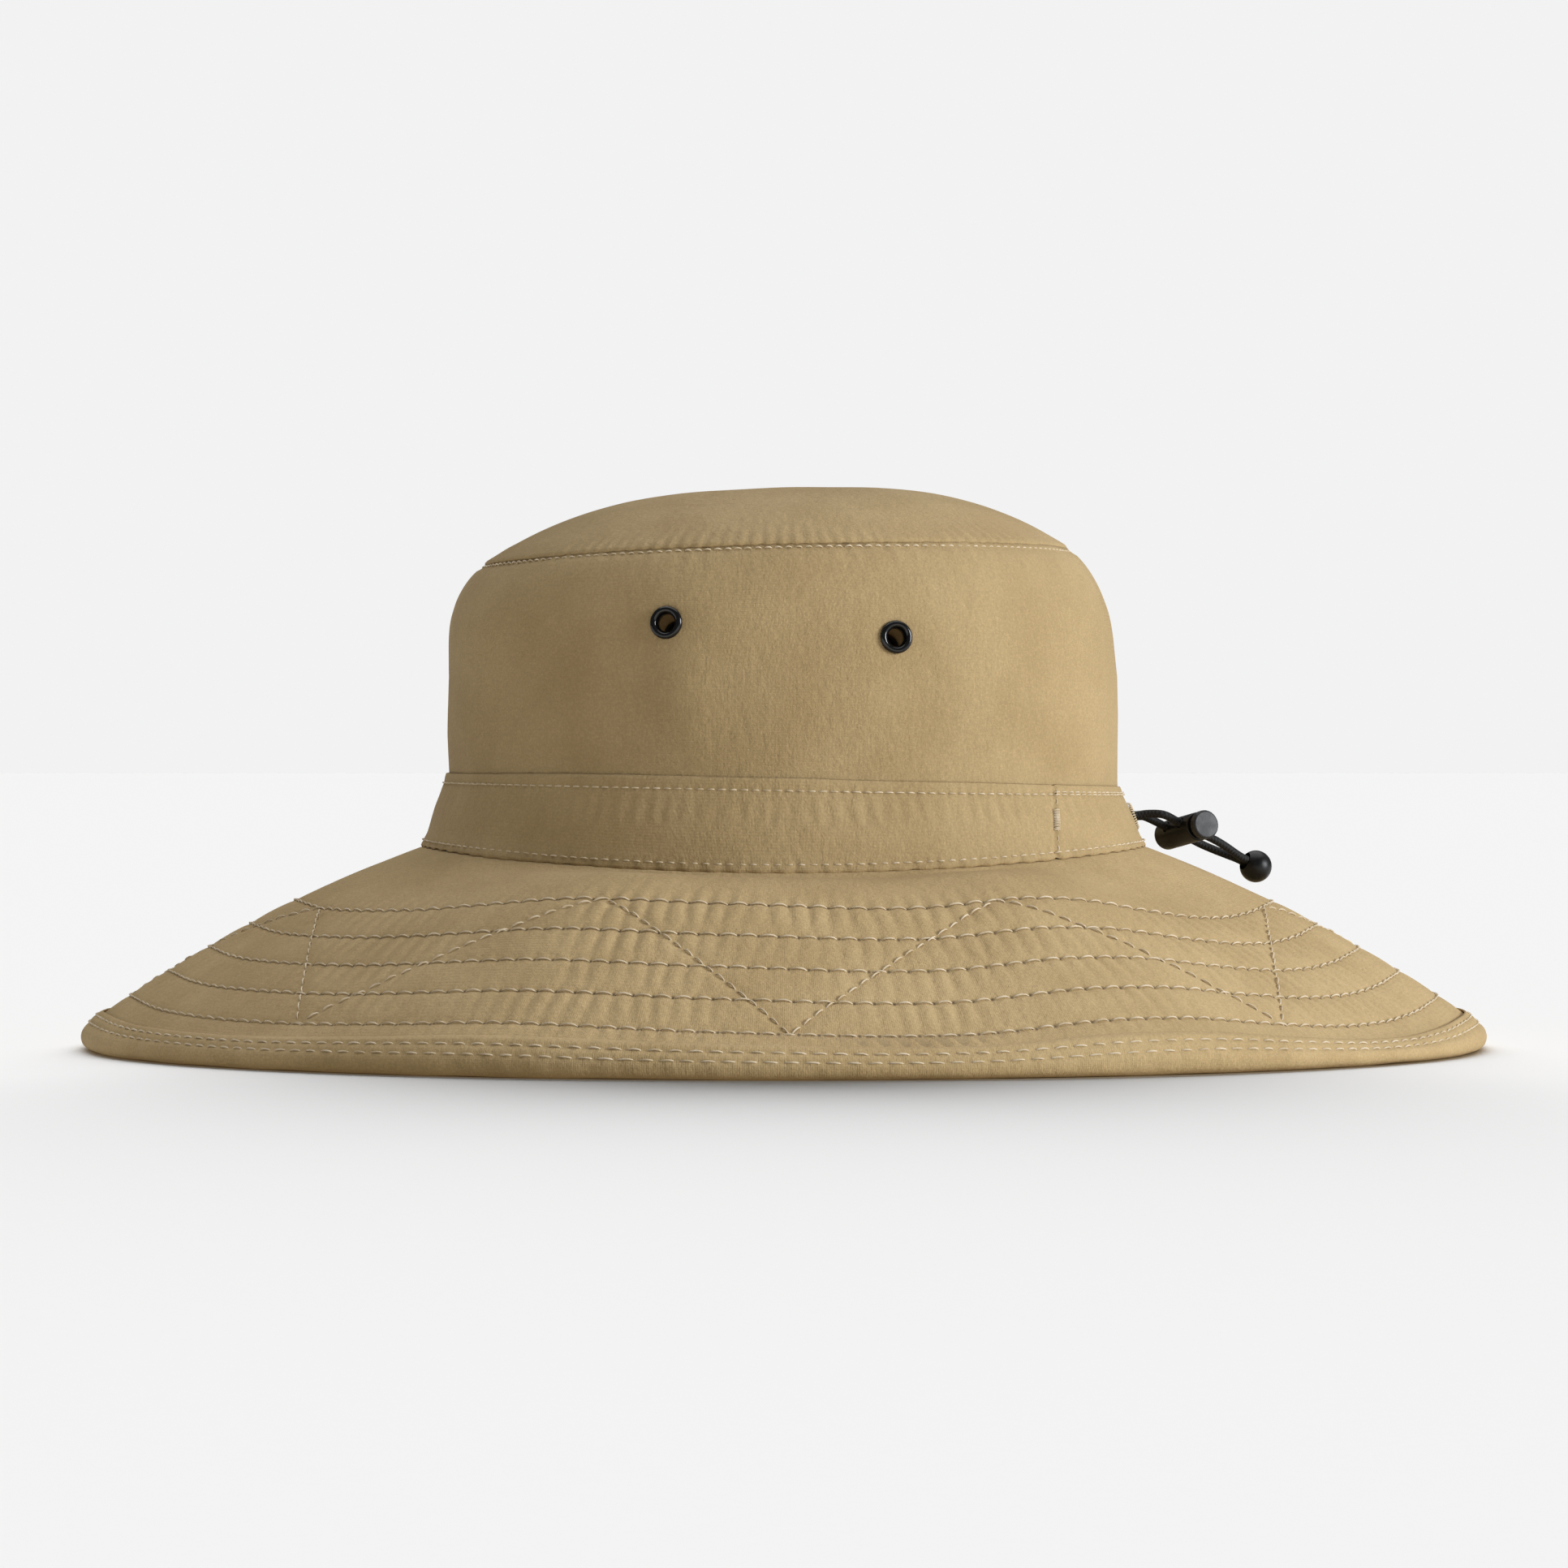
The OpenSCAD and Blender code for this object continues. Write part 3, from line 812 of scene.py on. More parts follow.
def crownRelief(a, z, t, points):
    height = wrinkles(points, crown["wrinkles"])
    places = [np.array(matrix.translation) for matrix in vents.values()]
    gaps = [np.linalg.norm(points - place, axis=1) for place in places]
    # The cloth is calm round a vent and dips under its rim
    for gap in gaps:
        height *= 1 - bell(gap, 0.014)
    for gap in gaps:
        height -= 0.0005 * bell(gap, 0.0062)
    # Soft upright folds below the front vents
    for fold, depth in crown["folds"]:
        apart = wrapped(t - math.radians(fold))
        height += depth * bell(apart, math.radians(5.5)) * bell(z - crown["foldHeight"], 0.022)
    # The stitched edge below the tip, then the upright seams at the front and back
    share = turnShare(t) * seamCount
    belowSeam = crown["seamHeight"] - z
    height -= 0.00045 * bell(belowSeam - 0.0011, 0.0008)
    pucker = 0.5 + 0.5 * clothNoise(points, 0.02, 44)
    height -= 0.00012 * pucker * np.cos(fullTurn * share * 0.5) * bell(belowSeam, 0.007)
    seam = np.abs(points[:, 1])
    height -= 0.0006 * bell(seam, 0.0009)
    height += 0.0002 * bell(seam - 0.0022, 0.0012)
    return height * (1 - 0.7 * rising(0.090 - z, 0.012))


def makeCrownSide(side, name):
    turn = (-math.pi, 0) if side < 0 else (0, math.pi)
    line = evenLine(crown["wall"], 0.00125)
    bm = spunSheet(line, [], 400, turn)
    outer = max(bm.faces, key=lambda f: f.calc_center_median().length)
    if outer.normal.dot(outer.calc_center_median()) < 0:
        bmesh.ops.reverse_faces(bm, faces=bm.faces)
    mesh = shapeSheet(bm, onWall, crownRelief)
    cut = bmesh.new()
    cut.from_mesh(mesh)
    inHoles = [
        face for face in cut.faces
        if any(
            (face.calc_center_median() - matrix.translation).length < crown["ventHoleRadius"]
            for matrix in vents.values()
        )
    ]
    bmesh.ops.delete(cut, geom=inHoles, context="FACES")
    cut.to_mesh(mesh)
    cut.free()
    piece = dressed(name, mesh, hatCloth, nodes=["crown_side_left" if side < 0 else "crown_side_right"])
    wall = piece.modifiers.new("cloth", "SOLIDIFY")
    wall.thickness = crown["cloth"]
    wall.offset = -1


tip = {
    "wrinkles": [(0.0006, 0.045, 51), (0.00022, 0.014, 52)],
    "edge": [(0.0846, 0.1443), (0.0851, 0.1438), (0.0852, 0.1432), (0.0847, 0.1428)],
    "cloth": 0.001,
}


def tipHeight(a):
    rise = oval["hatHeight"] - oval["tipSeam"]
    return oval["tipSeam"] + rise * (1 - (a / oval["tipHalf"]) ** 3)


def tipRelief(a, z, t, points):
    share = turnShare(t) * seamCount
    height = wrinkles(points, tip["wrinkles"]) * rising(oval["tipHalf"] - a, 0.008)
    edge = rising(a - 0.066, 0.018)
    patch = np.clip(0.45 + 0.9 * clothNoise(points, 0.018, 53), 0, 1.4)
    drift = share * 0.7 + 0.4 * clothNoise(points, 0.02, 55)
    height -= 0.00026 * edge ** 2 * patch * np.cos(fullTurn * drift)
    return height + 0.00016 * edge * clothNoise(points, 0.005, 54)


def makeCrownTip():
    a = list(np.linspace(0.0, 0.06, 22)) + list(np.arange(0.0615, 0.0838, 0.0011))
    face = [(r, tipHeight(r)) for r in a] + tip["edge"]
    back = [(0.0836, 0.1431), (0.0825, 0.1444)]
    back += [(r, tipHeight(r) - tip["cloth"]) for r in (0.074, 0.05, 0.0)]
    mesh = shapeSheet(spunSheet(face, back[::-1], 700), onTip, tipRelief, back)
    dressed("crownTip", mesh, hatCloth, nodes=["crown_tip"])


band = {
    "face": [
        (0.1052, 0.0592), (0.1057, 0.0584), (0.1062, 0.0590), (0.1057, 0.0606), (0.1045, 0.0626),
        (0.1026, 0.0682), (0.1005, 0.073), (0.0992, 0.0770), (0.0989, 0.0779), (0.0983, 0.0781),
    ],
    "back": [(0.1047, 0.0604), (0.1036, 0.0625), (0.1018, 0.068), (0.0997, 0.0729), (0.0984, 0.0768)],
    "stitch": 0.0032,
    "lowRow": 0.0605,
    "highRow": 0.0754,
    "joinTurns": (math.radians(-43.2), math.radians(-39.2)),
    "joinHeights": (0.0605, 0.077),
    "wrinkles": [(0.00035, 0.03, 61), (0.00016, 0.009, 62)],
}


def joinTurn(z):
    # The band's upright join, at a height
    return np.interp(z, band["joinHeights"], band["joinTurns"])


bandCount = stitchCount(0.103, band["stitch"])


def bandRelief(a, z, t, points):
    share = turnShare(t) * bandCount
    height = wrinkles(points, band["wrinkles"])
    for row in (band["lowRow"], band["highRow"]):
        dip = 0.7 + 0.3 * np.cos(fullTurn * share)
        height -= 0.00036 * dip * bell(z - row, 0.0007)
    patch = 0.6 + 0.6 * clothNoise(points, 0.02, 63)
    under = rising(band["highRow"] - z, 0.008)
    folds = np.cos(fullTurn * (share * 0.62 + 0.4 * clothNoise(points, 0.012, 64)))
    height -= 0.00020 * patch * folds * np.sin(math.pi * under) * (z < band["highRow"])
    hem = rising(band["lowRow"] + 0.001 - z, 0.003)
    height += 0.00022 * hem * np.cos(fullTurn * share * 0.5)
    join = wrapped(t - joinTurn(z)) * 0.095
    height -= 0.0005 * bell(join, 0.0007)
    return height + 0.00018 * bell(join - 0.002, 0.0012)


def makeBand():
    face = evenLine(band["face"], 0.0006)
    mesh = shapeSheet(spunSheet(face, band["back"], 1000), onWall, bandRelief, band["back"])
    dressed("hatBand", mesh, hatCloth, nodes=["hat_band"])


sweatband = {
    "inside": [(0.0966, 0.0586), (0.0964, 0.0608), (0.0958, 0.0790), (0.0957, 0.0900), (0.0955, 0.0918)],
    "outside": [
        (0.0973, 0.0586), (0.0973, 0.0608), (0.0967, 0.0790), (0.0966, 0.0900), (0.0964, 0.0921),
        (0.0958, 0.0924),
    ],
    "wrinkles": [(0.00016, 0.02, 71), (0.00006, 0.006, 72)],
}


def makeLining(name, node, bm, relief):
    mesh = shapeSheet(bm, onWall, relief)
    dressed(name, mesh, finish["lining"], nodes=[node])


def makeSweatband():
    def relief(a, z, t, points):
        return wrinkles(points, sweatband["wrinkles"])
    bm = spunSheet(evenLine(sweatband["inside"], 0.0012), evenLine(sweatband["outside"], 0.004), 420)
    makeLining("sweatband", "sweatband", bm, relief)


seamTape = {
    "inside": [(0.0927, 0.1300), (0.0896, 0.1352), (0.0868, 0.1391)],
    "outside": [(0.0933, 0.1302), (0.0901, 0.1356), (0.0872, 0.1395)],
    "pucker": 0.00009,
}


def makeSeamTape():
    def relief(a, z, t, points):
        return seamTape["pucker"] * np.cos(fullTurn * turnShare(t) * seamCount * 0.5)
    bm = spunSheet(evenLine(seamTape["inside"], 0.001), seamTape["outside"], 360)
    makeLining("tipSeamTape", "tip_seam_tape", bm, relief)


label = {
    "inside": [(0.09535, 0.0682), (0.0950, 0.0790), (0.0950, 0.0858)],
    "outside": [(0.0957, 0.0682), (0.0954, 0.0790), (0.0954, 0.0858)],
    "turn": math.radians(9.5),
}


def makeLabel():
    face = evenLine(label["inside"], 0.0009)
    bm = spunSheet(face, label["outside"], 40, (-label["turn"], label["turn"]))
    ends = [edge for edge in bm.edges if edge.is_boundary]
    bmesh.ops.holes_fill(bm, edges=ends, sides=0)
    bmesh.ops.recalc_face_normals(bm, faces=bm.faces)
    mesh = shapeSheet(bm, onWall)
    dressed("sizeLabel", mesh, finish["label"], nodes=["size_label"])


makeBrimCloth(
    "brimTop", "brim_top", brim["top"], 9, brim["rowStep"], (0, brim["cloth"]), brim["steps"],
)
print("brim top made")
makeBrimCloth(
    "brimUnderside", "brim_underside", brim["under"], 8, brim["underStep"],
    (brim["depth"], brim["depth"] - brim["cloth"]), brim["underSteps"],
)
makeStiffener()
makeBinding()
print("brim made")
makeCrownSide(-1, "crownSideLeft")
makeCrownSide(1, "crownSideRight")
makeCrownTip()
print("crown made")
makeBand()
makeSweatband()
makeSeamTape()
makeLabel()
print("band and lining made")


eyelet = {
    # (radius, height) points up the inside of the barrel, the roll, and down the outside
    "inside": [
        (0.0032, -0.0024), (0.0026, -0.0021), (0.00245, -0.0006), (0.00252, 0.0001),
        (0.00275, 0.0003),
    ],
    "rollMiddle": (0.00372, 0.0003),
    "roll": (0.00096, 0.00095),
    "outside": [(0.0046, 0.0), (0.0030, 0.0), (0.00285, -0.0020), (0.0034, -0.0026)],
}


def makeEyelet(place, name):
    # A rolled black eyelet and its flared barrel
    bm = bmesh.new()
    (middle, base), (wide, high) = eyelet["rollMiddle"], eyelet["roll"]
    angles = np.linspace(0.35, math.pi, 12)
    arc = [(middle - wide * math.cos(u), base + high * math.sin(u)) for u in angles]
    section = eyelet["inside"] + arc + eyelet["outside"]
    spin(bm, outline(bm, [(x, 0, z) for x, z in section], True), 56)
    bmesh.ops.recalc_face_normals(bm, faces=bm.faces)
    bmesh.ops.transform(bm, matrix=place, verts=bm.verts)
    finished("eyelet_" + name, bm, finish["eyelet"], nodes=["vent_eyelet_" + name])


for ventName, ventPlace in vents.items():
    makeEyelet(ventPlace, ventName)
print("vents made")

sewing = {
    "thickness": 0.00025,
    "sides": 6,
    "parts": 5,
    "sink": 0.00055,
}


def oneStitch(length, rise, thickness):
    # A short arched thread along X, pulled into the cloth at both ends
    bm = bmesh.new()
    bmesh.ops.create_cone(
        bm, cap_ends=True, segments=sewing["sides"], radius1=thickness, radius2=thickness, depth=length,
    )
    lengthwise = [edge for edge in bm.edges if abs(edge.verts[0].co.z - edge.verts[1].co.z) > length / 2]
    bmesh.ops.subdivide_edges(bm, edges=lengthwise, cuts=sewing["parts"] - 1)
    bmesh.ops.rotate(bm, verts=bm.verts, matrix=Matrix.Rotation(math.pi / 2, 3, "Y"))
    for point in bm.verts:
        share = 2 * point.co.x / length
        taper = 1 - 0.45 * share ** 4
        point.co.y *= taper
        point.co.z = point.co.z * taper + rise - (rise + sewing["sink"]) * abs(share) ** 2.6
    return meshFrom("stitch", bm)


def sewn(name, places, stitch):
    bm = bmesh.new()
    for place in places:
        one = stitch.copy()
        one.transform(place)
        bm.from_mesh(one)
        bpy.data.meshes.remove(one)
    return finished(name, bm, finish["thread"])


def unit(vectors):
    return vectors / np.linalg.norm(vectors, axis=-1, keepdims=True)


def sheetAt(spot, first, second):
    # Points, ways along the second parameter and outward normals of the sheet spot(first, second)
    middle = spot(first, second)
    along = spot(first, second + 0.004) - spot(first, second - 0.004)
    out = spot(first + 0.0006, second) - spot(first - 0.0006, second)
    normal = unit(np.cross(along, out))
    outward = middle * (1, 1, 0) + (0, 0, 0.15)
    flip = np.sign(np.sum(normal * outward, axis=-1, keepdims=True))
    return middle, along, normal * flip


def stitchPlaces(middle, along, normal, seed, lift=0.0):
    # A matrix for each stitch, with a little of the unevenness of real sewing
    chance = random.Random(seed)
    along = unit(along - np.sum(along * normal, axis=-1, keepdims=True) * normal)
    across = np.cross(normal, along)
    places = []
    for point, way, side, up in zip(middle + normal * lift, along, across, normal):
        turn = Matrix((way, side, up)).transposed().to_4x4()
        wobble = Matrix.Rotation(chance.uniform(-0.06, 0.06), 4, "Z")
        size = Matrix.Diagonal((chance.uniform(0.93, 1.05), 1, 1, 1))
        places.append(Matrix.Translation(point) @ turn @ wobble @ size)
    return places


def turnsAt(count, first=0.5):
    # Azimuths of the middles of evenly spaced stitches
    return np.interp((np.arange(count) + first) / count, shares, shareTurns)


def brimSpot(a, t):
    return onBrim(a, brimHeight(a), t)


def onQuilt(a, t):
    # Points on the brim's quilted face, with the way along the row and the normal
    a = np.broadcast_to(a, t.shape)
    middle, along, normal = sheetAt(brimSpot, a, t)
    return middle + normal * quilting(a, brimHeight(a), t, middle)[:, None], along, normal


def sewBrim():
    stitch = oneStitch(brim["stitch"] * 0.88, 0.00024, sewing["thickness"])
    for index, row in enumerate(brim["rows"]):
        count = stitchCount(row, brim["stitch"])
        places = stitchPlaces(*onQuilt(row, turnsAt(count)), 100 + index, 0.00024)
        sewn("brimStitches_" + str(index + 1), places, stitch)


def sewUnderside():
    stitch = oneStitch(brim["stitch"] * 0.84, 0.0002, sewing["thickness"])
    places = []

    def spot(a, t):
        return onBrim(a, brimHeight(a, brim["depth"]), t)
    for index, row in enumerate(brim["rows"]):
        turns = turnsAt(stitchCount(row, brim["stitch"]))
        halves = np.full_like(turns, row)
        middle, along, normal = sheetAt(spot, halves, turns)
        height = quilting(halves, brimHeight(halves, brim["depth"]), turns, middle)
        places += stitchPlaces(middle - normal * height[:, None], along, -normal, 160 + index, 0.0002)
    sewn("brimStitches_under", places, stitch)


def sewZigzag():
    stitch = oneStitch(brim["zigzagStitch"] * 0.9, 0.00026, sewing["thickness"])
    turns = np.linspace(0, fullTurn, 6001)
    line = brimSpot(zigzagLine(turns), turns)
    lengths = lengthsAlong(line)
    count = round(lengths[-1] / brim["zigzagStitch"])
    middles = np.interp((np.arange(count) + 0.5) / count * lengths[-1], lengths, turns)
    point, _, normal = onQuilt(zigzagLine(middles), middles)
    way = brimSpot(zigzagLine(middles + 0.003), middles + 0.003)
    way = way - brimSpot(zigzagLine(middles - 0.003), middles - 0.003)
    sewn("zigzagStitches", stitchPlaces(point, way, normal, 120, 0.00028), stitch)


def sewBinding():
    stitch = oneStitch(bindingRows["stitch"] * 0.82, 0.00022, sewing["thickness"])
    count = stitchCount(0.2, bindingRows["stitch"])
    for index, which in enumerate(("first", "second")):
        turns = turnsAt(count, 0.5 - 0.37 * index)
        row = sheetAt(bindingPlace, bindingRow(which, turns), turns)
        places = stitchPlaces(*row, 130 + index, -0.00012)
        sewn("bindingStitches_" + which, places, stitch)


sewBrim()
sewUnderside()
sewZigzag()
sewBinding()
print("brim sewn")


def wallSpot(line):
    # Points on a wall whose section is line, at heights and azimuths
    halves, heights = zip(*line)

    def spot(z, t):
        return onWall(np.interp(z, heights, halves), z, t)
    return spot


bandOutside = wallSpot([
    (0.1061, 0.0598), (0.1045, 0.0626), (0.1026, 0.0682), (0.1005, 0.073), (0.0992, 0.0770),
])
crownOutside = wallSpot(crown["wall"])


def sewWalls():
    stitch = oneStitch(band["stitch"] * 0.86, 0.00012, 0.00022)
    turns = turnsAt(bandCount)
    for index, (rowName, height) in enumerate((("low", band["lowRow"]), ("high", band["highRow"]))):
        places = stitchPlaces(*sheetAt(bandOutside, height, turns), 140 + index, -0.00003)
        sewn("bandStitches_" + rowName, places, stitch)
    apart = wrapped(turns - joinTurn(band["highRow"]))
    doubled = turns[(apart > 0.01) & (apart < math.radians(38))] + 0.4 / bandCount
    places = stitchPlaces(*sheetAt(bandOutside, band["highRow"] + 0.0007, doubled), 143, -0.00005)
    # The upright seam that closes the band, and the bar at its middle
    heights = np.arange(0.0615, 0.0760, 0.0024)
    turns = joinTurn(heights) + 0.012
    upright = bandOutside(heights + 0.0003, joinTurn(heights + 0.0003))
    upright = upright - bandOutside(heights - 0.0003, joinTurn(heights - 0.0003))
    point, _, normal = sheetAt(bandOutside, heights, turns)
    places += stitchPlaces(point, upright, normal, 144, -0.00008)
    sewn("bandStitches_join", places, stitch)
    bar = oneStitch(0.0029, 0.0003, 0.00022)
    heights = np.arange(0.0662, 0.0714, 0.00042)
    turns = joinTurn(heights) + 0.006
    sewn("bandBar", stitchPlaces(*sheetAt(bandOutside, heights, turns), 145, 0.0003), bar)
    stitch = oneStitch(crown["seamStitch"] * 0.84, 0.00012, 0.00022)
    places = stitchPlaces(*sheetAt(crownOutside, 0.1422, turnsAt(seamCount)), 150, 0.00004)
    sewn("tipStitches", places, stitch)


sewWalls()
print("crown and band sewn")

lock = {
    "place": (0.118, 0.005, 0.063),
    "turn": (-10, 24, 23),
    "radius": 0.00425,
    "bore": 0.00287,
    "boreEnd": 0.0097,
    "mouth": -0.0084,
    "end": 0.011,
    "strandGap": 0.004,
    "strandHole": 0.0016,
    "springLow": 0.00646,
    "springHigh": 0.00944,
    "springWire": 0.00021,
    "springRadius": 0.002,
    "springTurns": 3,
    "ball": (0.0254, -0.001, -0.0006),
    "ballRadius": 0.00475,
    "ballHole": 0.00265,
}
lockMatrix = (
    Matrix.Translation(lock["place"])
    @ Euler([math.radians(angle) for angle in lock["turn"]]).to_matrix().to_4x4()
)
cord = {
    "diameter": 0.0024,
    "sides": 14,
    "far": [
        (-0.0169, 0.0069, -0.002), (-0.0169, 0.0052, -0.0021), (-0.0163, 0.0037, -0.0021),
        (-0.0149, 0.0026, -0.0016), (-0.013, 0.0028, -0.0007), (-0.010, 0.004, 0),
        (-0.005, 0.004, 0), (0, 0.004, 0), (0.005, 0.004, 0), (0.009, 0.004, 0),
        (0.013, 0.0028, -0.0002), (0.017, 0.0012, -0.0004), (0.020, 0.0003, -0.0005),
        (0.0235, 0.0003, -0.0006),
    ],
    "near": [
        (-0.0205, -0.0012, -0.0047), (-0.0198, -0.0003, -0.0043), (-0.0185, 0.0003, -0.0033),
        (-0.0162, 0.0002, -0.0022), (-0.0134, -0.0016, -0.0008), (-0.010, -0.004, 0),
        (-0.005, -0.004, 0), (0, -0.004, 0), (0.005, -0.004, 0), (0.009, -0.004, 0),
        (0.013, -0.0036, -0.0002), (0.017, -0.0027, -0.0004), (0.020, -0.0023, -0.0005),
        (0.0235, -0.0023, -0.0006),
    ],
}


def spunPiece(section, steps=64):
    # A turned shape round local Y from (radius, y) points that start and end on the axis
    bm = bmesh.new()
    spin(bm, outline(bm, [(radius, y, 0) for radius, y in section], False), steps, axis=(0, 1, 0))
    bmesh.ops.remove_doubles(bm, verts=bm.verts, dist=0.000002)
    bmesh.ops.recalc_face_normals(bm, faces=bm.faces)
    return bm


def roundedEnd(radius, y, corner, outward, parts=6):
    # A rounded corner of a turned shape, from the flat end round to the side
    arc = []
    for step in range(parts + 1):
        angle = math.pi / 2 * step / parts
        drop = outward * corner * (1 - math.cos(angle))
        arc.append((radius - corner + corner * math.sin(angle), y - drop))
    return arc


def cutWith(piece, cutter):
    # Cuts one shape out of another, and leaves no modifier behind
    tool = linked("cutter", cutter)
    cut = piece.modifiers.new("cut", "BOOLEAN")
    cut.object = tool
    cut.operation = "DIFFERENCE"
    cut.solver = "EXACT"
    shown = piece.evaluated_get(bpy.context.evaluated_depsgraph_get())
    mesh = bpy.data.meshes.new_from_object(shown)
    piece.modifiers.clear()
    smoothed(mesh, piece.data.materials[0])
    piece.data = mesh
    bpy.data.objects.remove(tool)
    mesh.set_sharp_from_angle(angle=math.radians(40))


def rodMesh(radius, length, matrix):
    bm = bmesh.new()
    bmesh.ops.create_cone(
        bm, cap_ends=True, segments=40, radius1=radius, radius2=radius, depth=length, matrix=matrix,
    )
    return meshFrom("rod", bm)


def makeLock():
    outer, bore = lock["radius"], lock["bore"]
    section = [(0, lock["end"])] + roundedEnd(outer, lock["end"], 0.0011, 1)
    section += [(outer, 0.004), (outer, -0.002)] + roundedEnd(outer, lock["mouth"], 0.0005, -1)[::-1]
    section += [(bore, lock["mouth"]), (bore, lock["boreEnd"]), (0, lock["boreEnd"])]
    bm = spunPiece(section)
    bmesh.ops.transform(bm, matrix=lockMatrix, verts=bm.verts)
    barrel = finished("lockBarrel", bm, finish["lock"], "cord_lock", ["cord_lock_barrel"])
    sideways = Matrix.Rotation(math.pi / 2, 4, "Y")
    for side in (-1, 1):
        spot = Matrix.Translation((0, side * lock["strandGap"], 0))
        cutWith(barrel, rodMesh(lock["strandHole"], 0.012, lockMatrix @ spot @ sideways))


def makeSpring():
    # A coil spring of one fixed length near the barrel's closed end; in the real lock it shortens
    # towards that end as the button goes in
    bm = bmesh.new()
    low, high, steps = lock["springLow"], lock["springHigh"], 84
    ring = bmesh.ops.create_circle(
        bm, segments=8, radius=lock["springWire"],
        matrix=Matrix.Translation((lock["springRadius"], low, 0)),
    )
    edges = list({edge for point in ring["verts"] for edge in point.link_edges})
    rise = (0, (high - low) / steps, 0)
    spin(bm, ring["verts"] + edges, steps, lock["springTurns"] * fullTurn, (0, 1, 0), False, rise)
    bmesh.ops.holes_fill(bm, edges=[edge for edge in bm.edges if edge.is_boundary], sides=0)
    bmesh.ops.recalc_face_normals(bm, faces=bm.faces)
    bmesh.ops.transform(bm, matrix=lockMatrix, verts=bm.verts)
    spring = finished("lockSpring", bm, finish["spring"], "cord_lock", ["cord_lock_spring"])
    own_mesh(spring)


def makeBall():
    bm = bmesh.new()
    bmesh.ops.create_uvsphere(bm, u_segments=48, v_segments=32, radius=lock["ballRadius"])
    bmesh.ops.transform(bm, matrix=lockMatrix @ Matrix.Translation(lock["ball"]), verts=bm.verts)
    ball = finished("cordBall", bm, finish["ball"], "hat", ["cord_end_ball"])
    hole = Matrix.Translation(Vector(lock["ball"]) + Vector((-0.0060, 0, 0)))
    hole = lockMatrix @ hole @ Matrix.Rotation(math.pi / 2, 4, "Y")
    cutWith(ball, rodMesh(lock["ballHole"], 0.0083, hole))
    return ball


def makeStrand(name, key, node):
    # A braided cord as a tube along its smooth route, with its own map for the braid
    route = [lockMatrix @ point for point in smoothRoute(cord[key], 5)]
    bm = bmesh.new()
    rings = []
    side = Vector((0, 0, 1))
    for index, point in enumerate(route):
        ahead = (route[min(index + 1, len(route) - 1)] - route[max(index - 1, 0)]).normalized()
        side = (side - side.dot(ahead) * ahead).normalized()
        turn = Matrix((ahead.cross(side), side, ahead)).transposed().to_4x4()
        ring = bmesh.ops.create_circle(bm, segments=cord["sides"], radius=cord["diameter"] / 2)["verts"]
        bmesh.ops.transform(bm, matrix=Matrix.Translation(point) @ turn, verts=ring)
        rings.append(ring)
    for first, second in zip(rings, rings[1:]):
        loops = [
            edge for ring in (first, second) for edge in {e for v in ring for e in v.link_edges}
            if all(v in ring for v in edge.verts)
        ]
        bmesh.ops.bridge_loops(bm, edges=loops)
    bmesh.ops.contextual_create(bm, geom=rings[0])
    bmesh.ops.contextual_create(bm, geom=rings[-1])
    bmesh.ops.recalc_face_normals(bm, faces=bm.faces)
    braid = bm.loops.layers.uv.new("braid")
    steps = [0] + [(second - first).length for first, second in zip(route, route[1:])]
    along = list(itertools.accumulate(steps))
    spots = {
        point: (k / cord["sides"], place)
        for place, ring in zip(along, rings) for k, point in enumerate(ring)
    }
    for face in bm.faces:
        turns = [spots[corner.vert][0] for corner in face.loops]
        for corner, turn in zip(face.loops, turns):
            turn = turn + 1 if max(turns) - turn > 0.5 else turn
            corner[braid].uv = (turn, spots[corner.vert][1])
    piece = finished(name, bm, finish["cord"], "hat", [node])


cordHole = {
    "half": 0.1026,
    "height": 0.0682,
    "tilt": math.radians(71),
    "stitches": 34,
    "radius": 0.0035,
}


def makeCordEyelet():
    # Buttonhole stitches round the cord's hole in the band
    spot = Matrix.Translation(onWall(cordHole["half"], cordHole["height"], 0.0))
    spot = spot @ Matrix.Rotation(cordHole["tilt"], 4, "Y")
    stitch = oneStitch(0.0017, 0.0003, 0.00024)
    places = []
    for index in range(cordHole["stitches"]):
        turn = Matrix.Rotation(fullTurn * index / cordHole["stitches"], 4, "Z")
        places.append(spot @ turn @ Matrix.Translation((cordHole["radius"], 0, 0.00005)))
    ring = sewn("cordEyelet", places, stitch)
    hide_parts("cord_eyelet")


ball = makeBall()
makeLock()
makeSpring()
makeStrand("farStrand", "far", "cord_strand_far")
makeStrand("nearStrand", "near", "cord_strand_near")
makeCordEyelet()
print("cord lock made")

nodeFinish = {
    "channel_cord": "cord",
    "cord_lock_plunger": "button",
}
for nodeName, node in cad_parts.items():
    node.data.materials.clear()
    key = nodeFinish.get(nodeName, "washer" if "washer" in nodeName else None)
    if key:
        node.data.materials.append(finish[key])

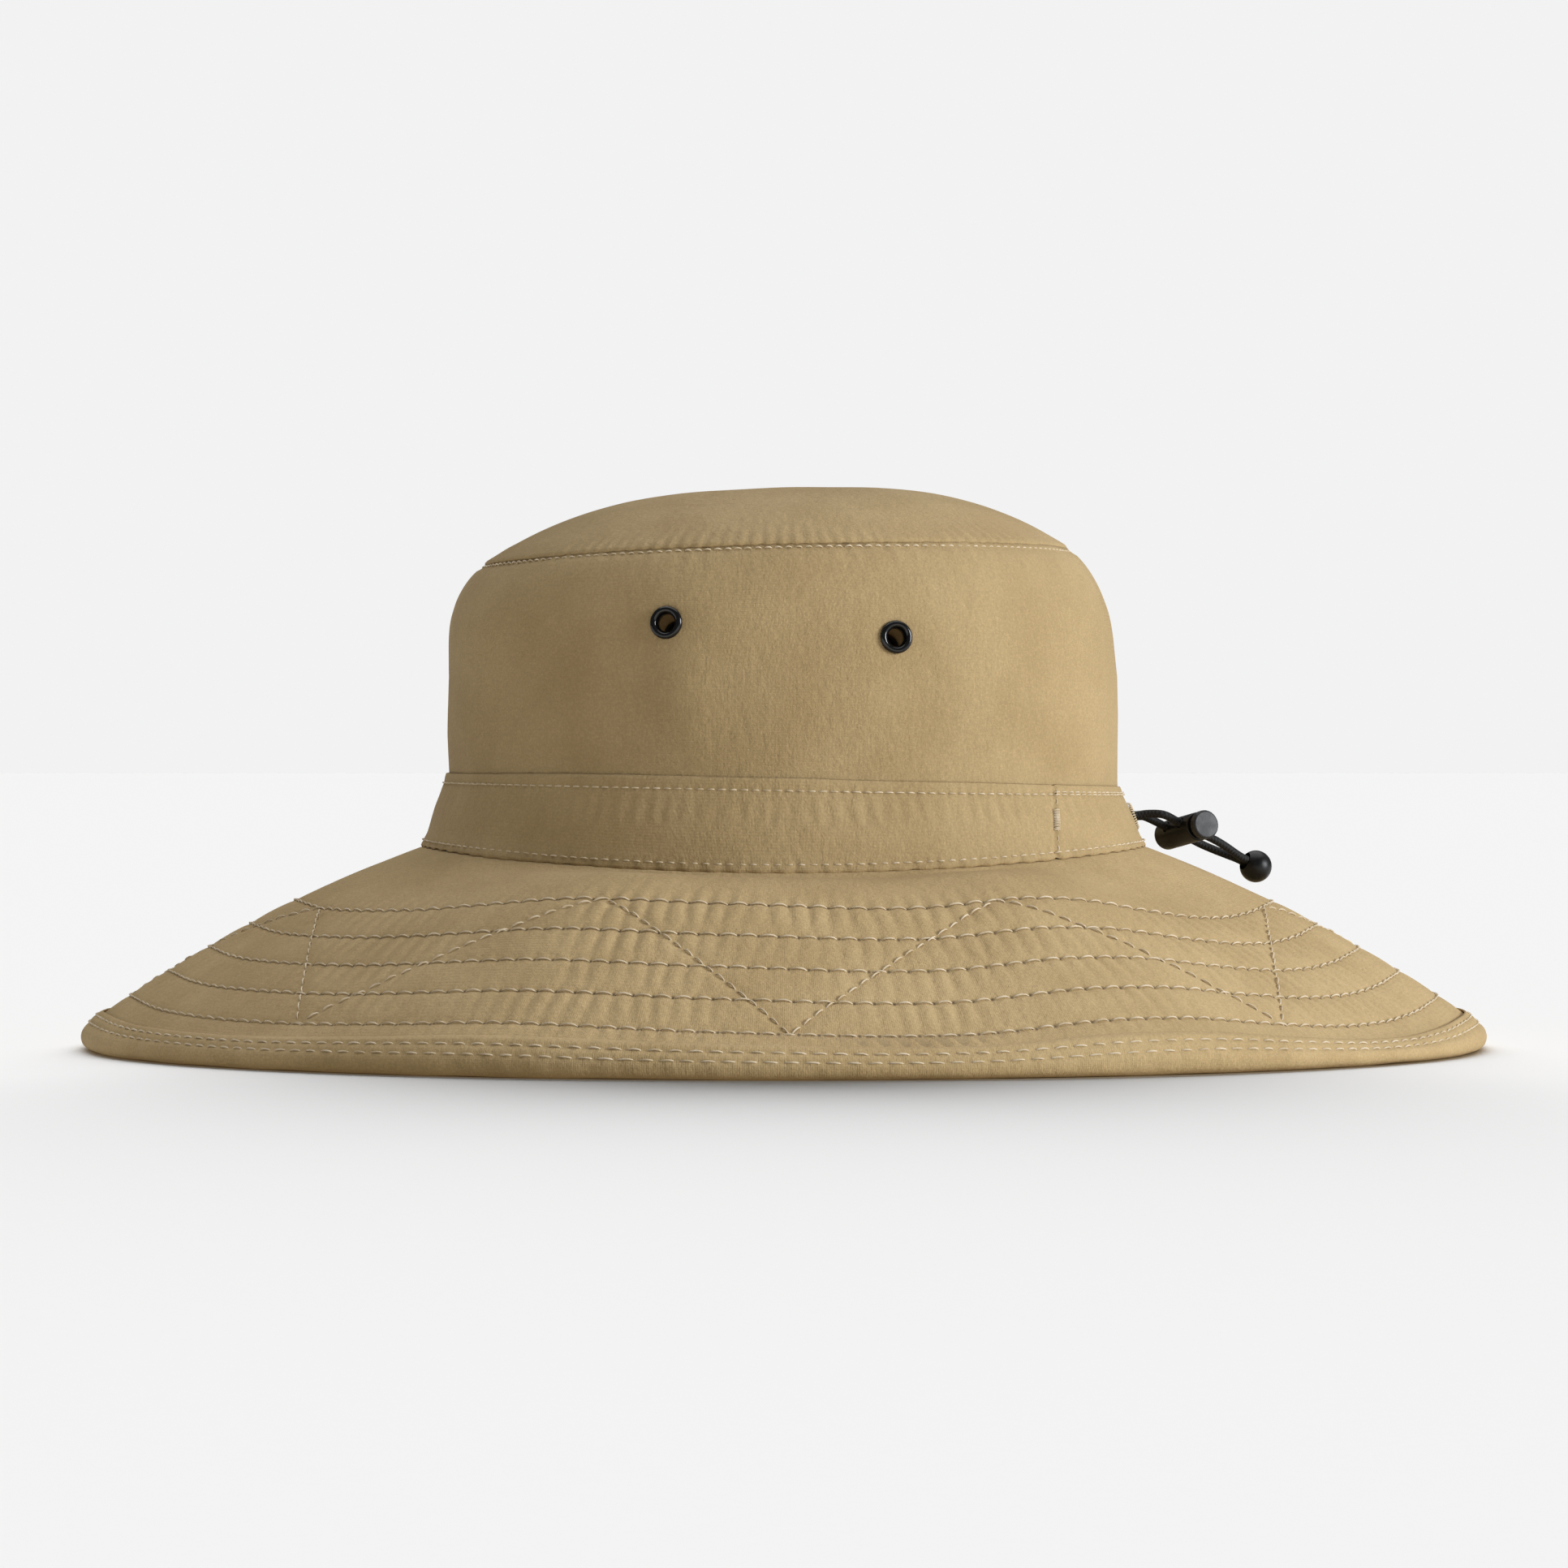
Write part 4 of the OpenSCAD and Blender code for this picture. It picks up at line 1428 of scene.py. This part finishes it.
studio = {
    "key": {"strength": 3.05, "turn": (77, 0, 68), "softness": 26, "colour": (0.97, 1.0, 1.05)},
    "top": {"strength": 1.7, "turn": (-12, 0, 0), "softness": 70, "colour": (1.0, 1.0, 1.02)},
    "fill": {"strength": 0.6, "turn": (134, 0, 0), "softness": 90, "colour": (1.0, 0.92, 0.8)},
    "floorLight": {"strength": 6.55, "turn": (-65, 0, 0), "softness": 55, "colour": (1.0, 1.0, 1.0)},
    "sky": 0.13,
    "backdrop": 0.888,
    "floor": 0.90,
    "floorSize": 60,
    "floorHeight": -0.0002,
}


def makeSun(name, floor, onFloor):
    # A soft sun that lights either the floor alone or everything but the floor
    values = studio[name]
    lamp = bpy.data.lights.new(name, "SUN")
    lamp.energy = values["strength"]
    lamp.angle = math.radians(values["softness"])
    lamp.color = values["colour"]
    holder = linked(name, lamp)
    holder.rotation_euler = [math.radians(angle) for angle in values["turn"]]
    lit = bpy.data.collections.new(name + "Reach")
    lit.objects.link(floor)
    holder.light_linking.receiver_collection = lit
    if not onFloor:
        # The fill stands for light thrown back by the floor, so the floor doesn't stop it
        lit.collection_objects[0].light_linking.link_state = "EXCLUDE"
        holder.light_linking.blocker_collection = lit


def makeStudio():
    bm = bmesh.new()
    bmesh.ops.create_grid(bm, x_segments=2, y_segments=2, size=studio["floorSize"])
    bmesh.ops.translate(bm, vec=(0, 0, studio["floorHeight"]), verts=bm.verts)
    mesh = meshFrom("floor", bm)

    def paper(wires):
        grain = wires.noise(wires.objectPlace(), 300, 2).fade(0.2, 0.8, 0.995, 1.0)
        tone = (studio["floor"],) * 3
        colour = wires.node("ShaderNodeVectorMath", {0: tone, 3: grain}, operation="SCALE")
        return {"Base Color": colour, "Roughness": 1.0, "Specular IOR Level": 0.0}
    mesh.materials.append(newMaterial("floorPaper", paper))
    floor = linked("floor", mesh)
    for name in ("key", "top", "fill"):
        makeSun(name, floor, False)
    makeSun("floorLight", floor, True)
    world = bpy.data.worlds.new("studio")
    world.use_nodes = True
    tree = world.node_tree
    tree.nodes.clear()
    wires = Wire(tree)
    seen = wires.node("ShaderNodeLightPath")
    level = seen * (studio["backdrop"] - studio["sky"]) + studio["sky"]
    sky = wires.node("ShaderNodeBackground", {"Color": shade(1, 1, 1), "Strength": level})
    wires.node("ShaderNodeOutputWorld", {"Surface": sky})
    bpy.context.scene.world = world
    bpy.context.scene.view_settings.view_transform = "Standard"


makeStudio()
print("studio made")
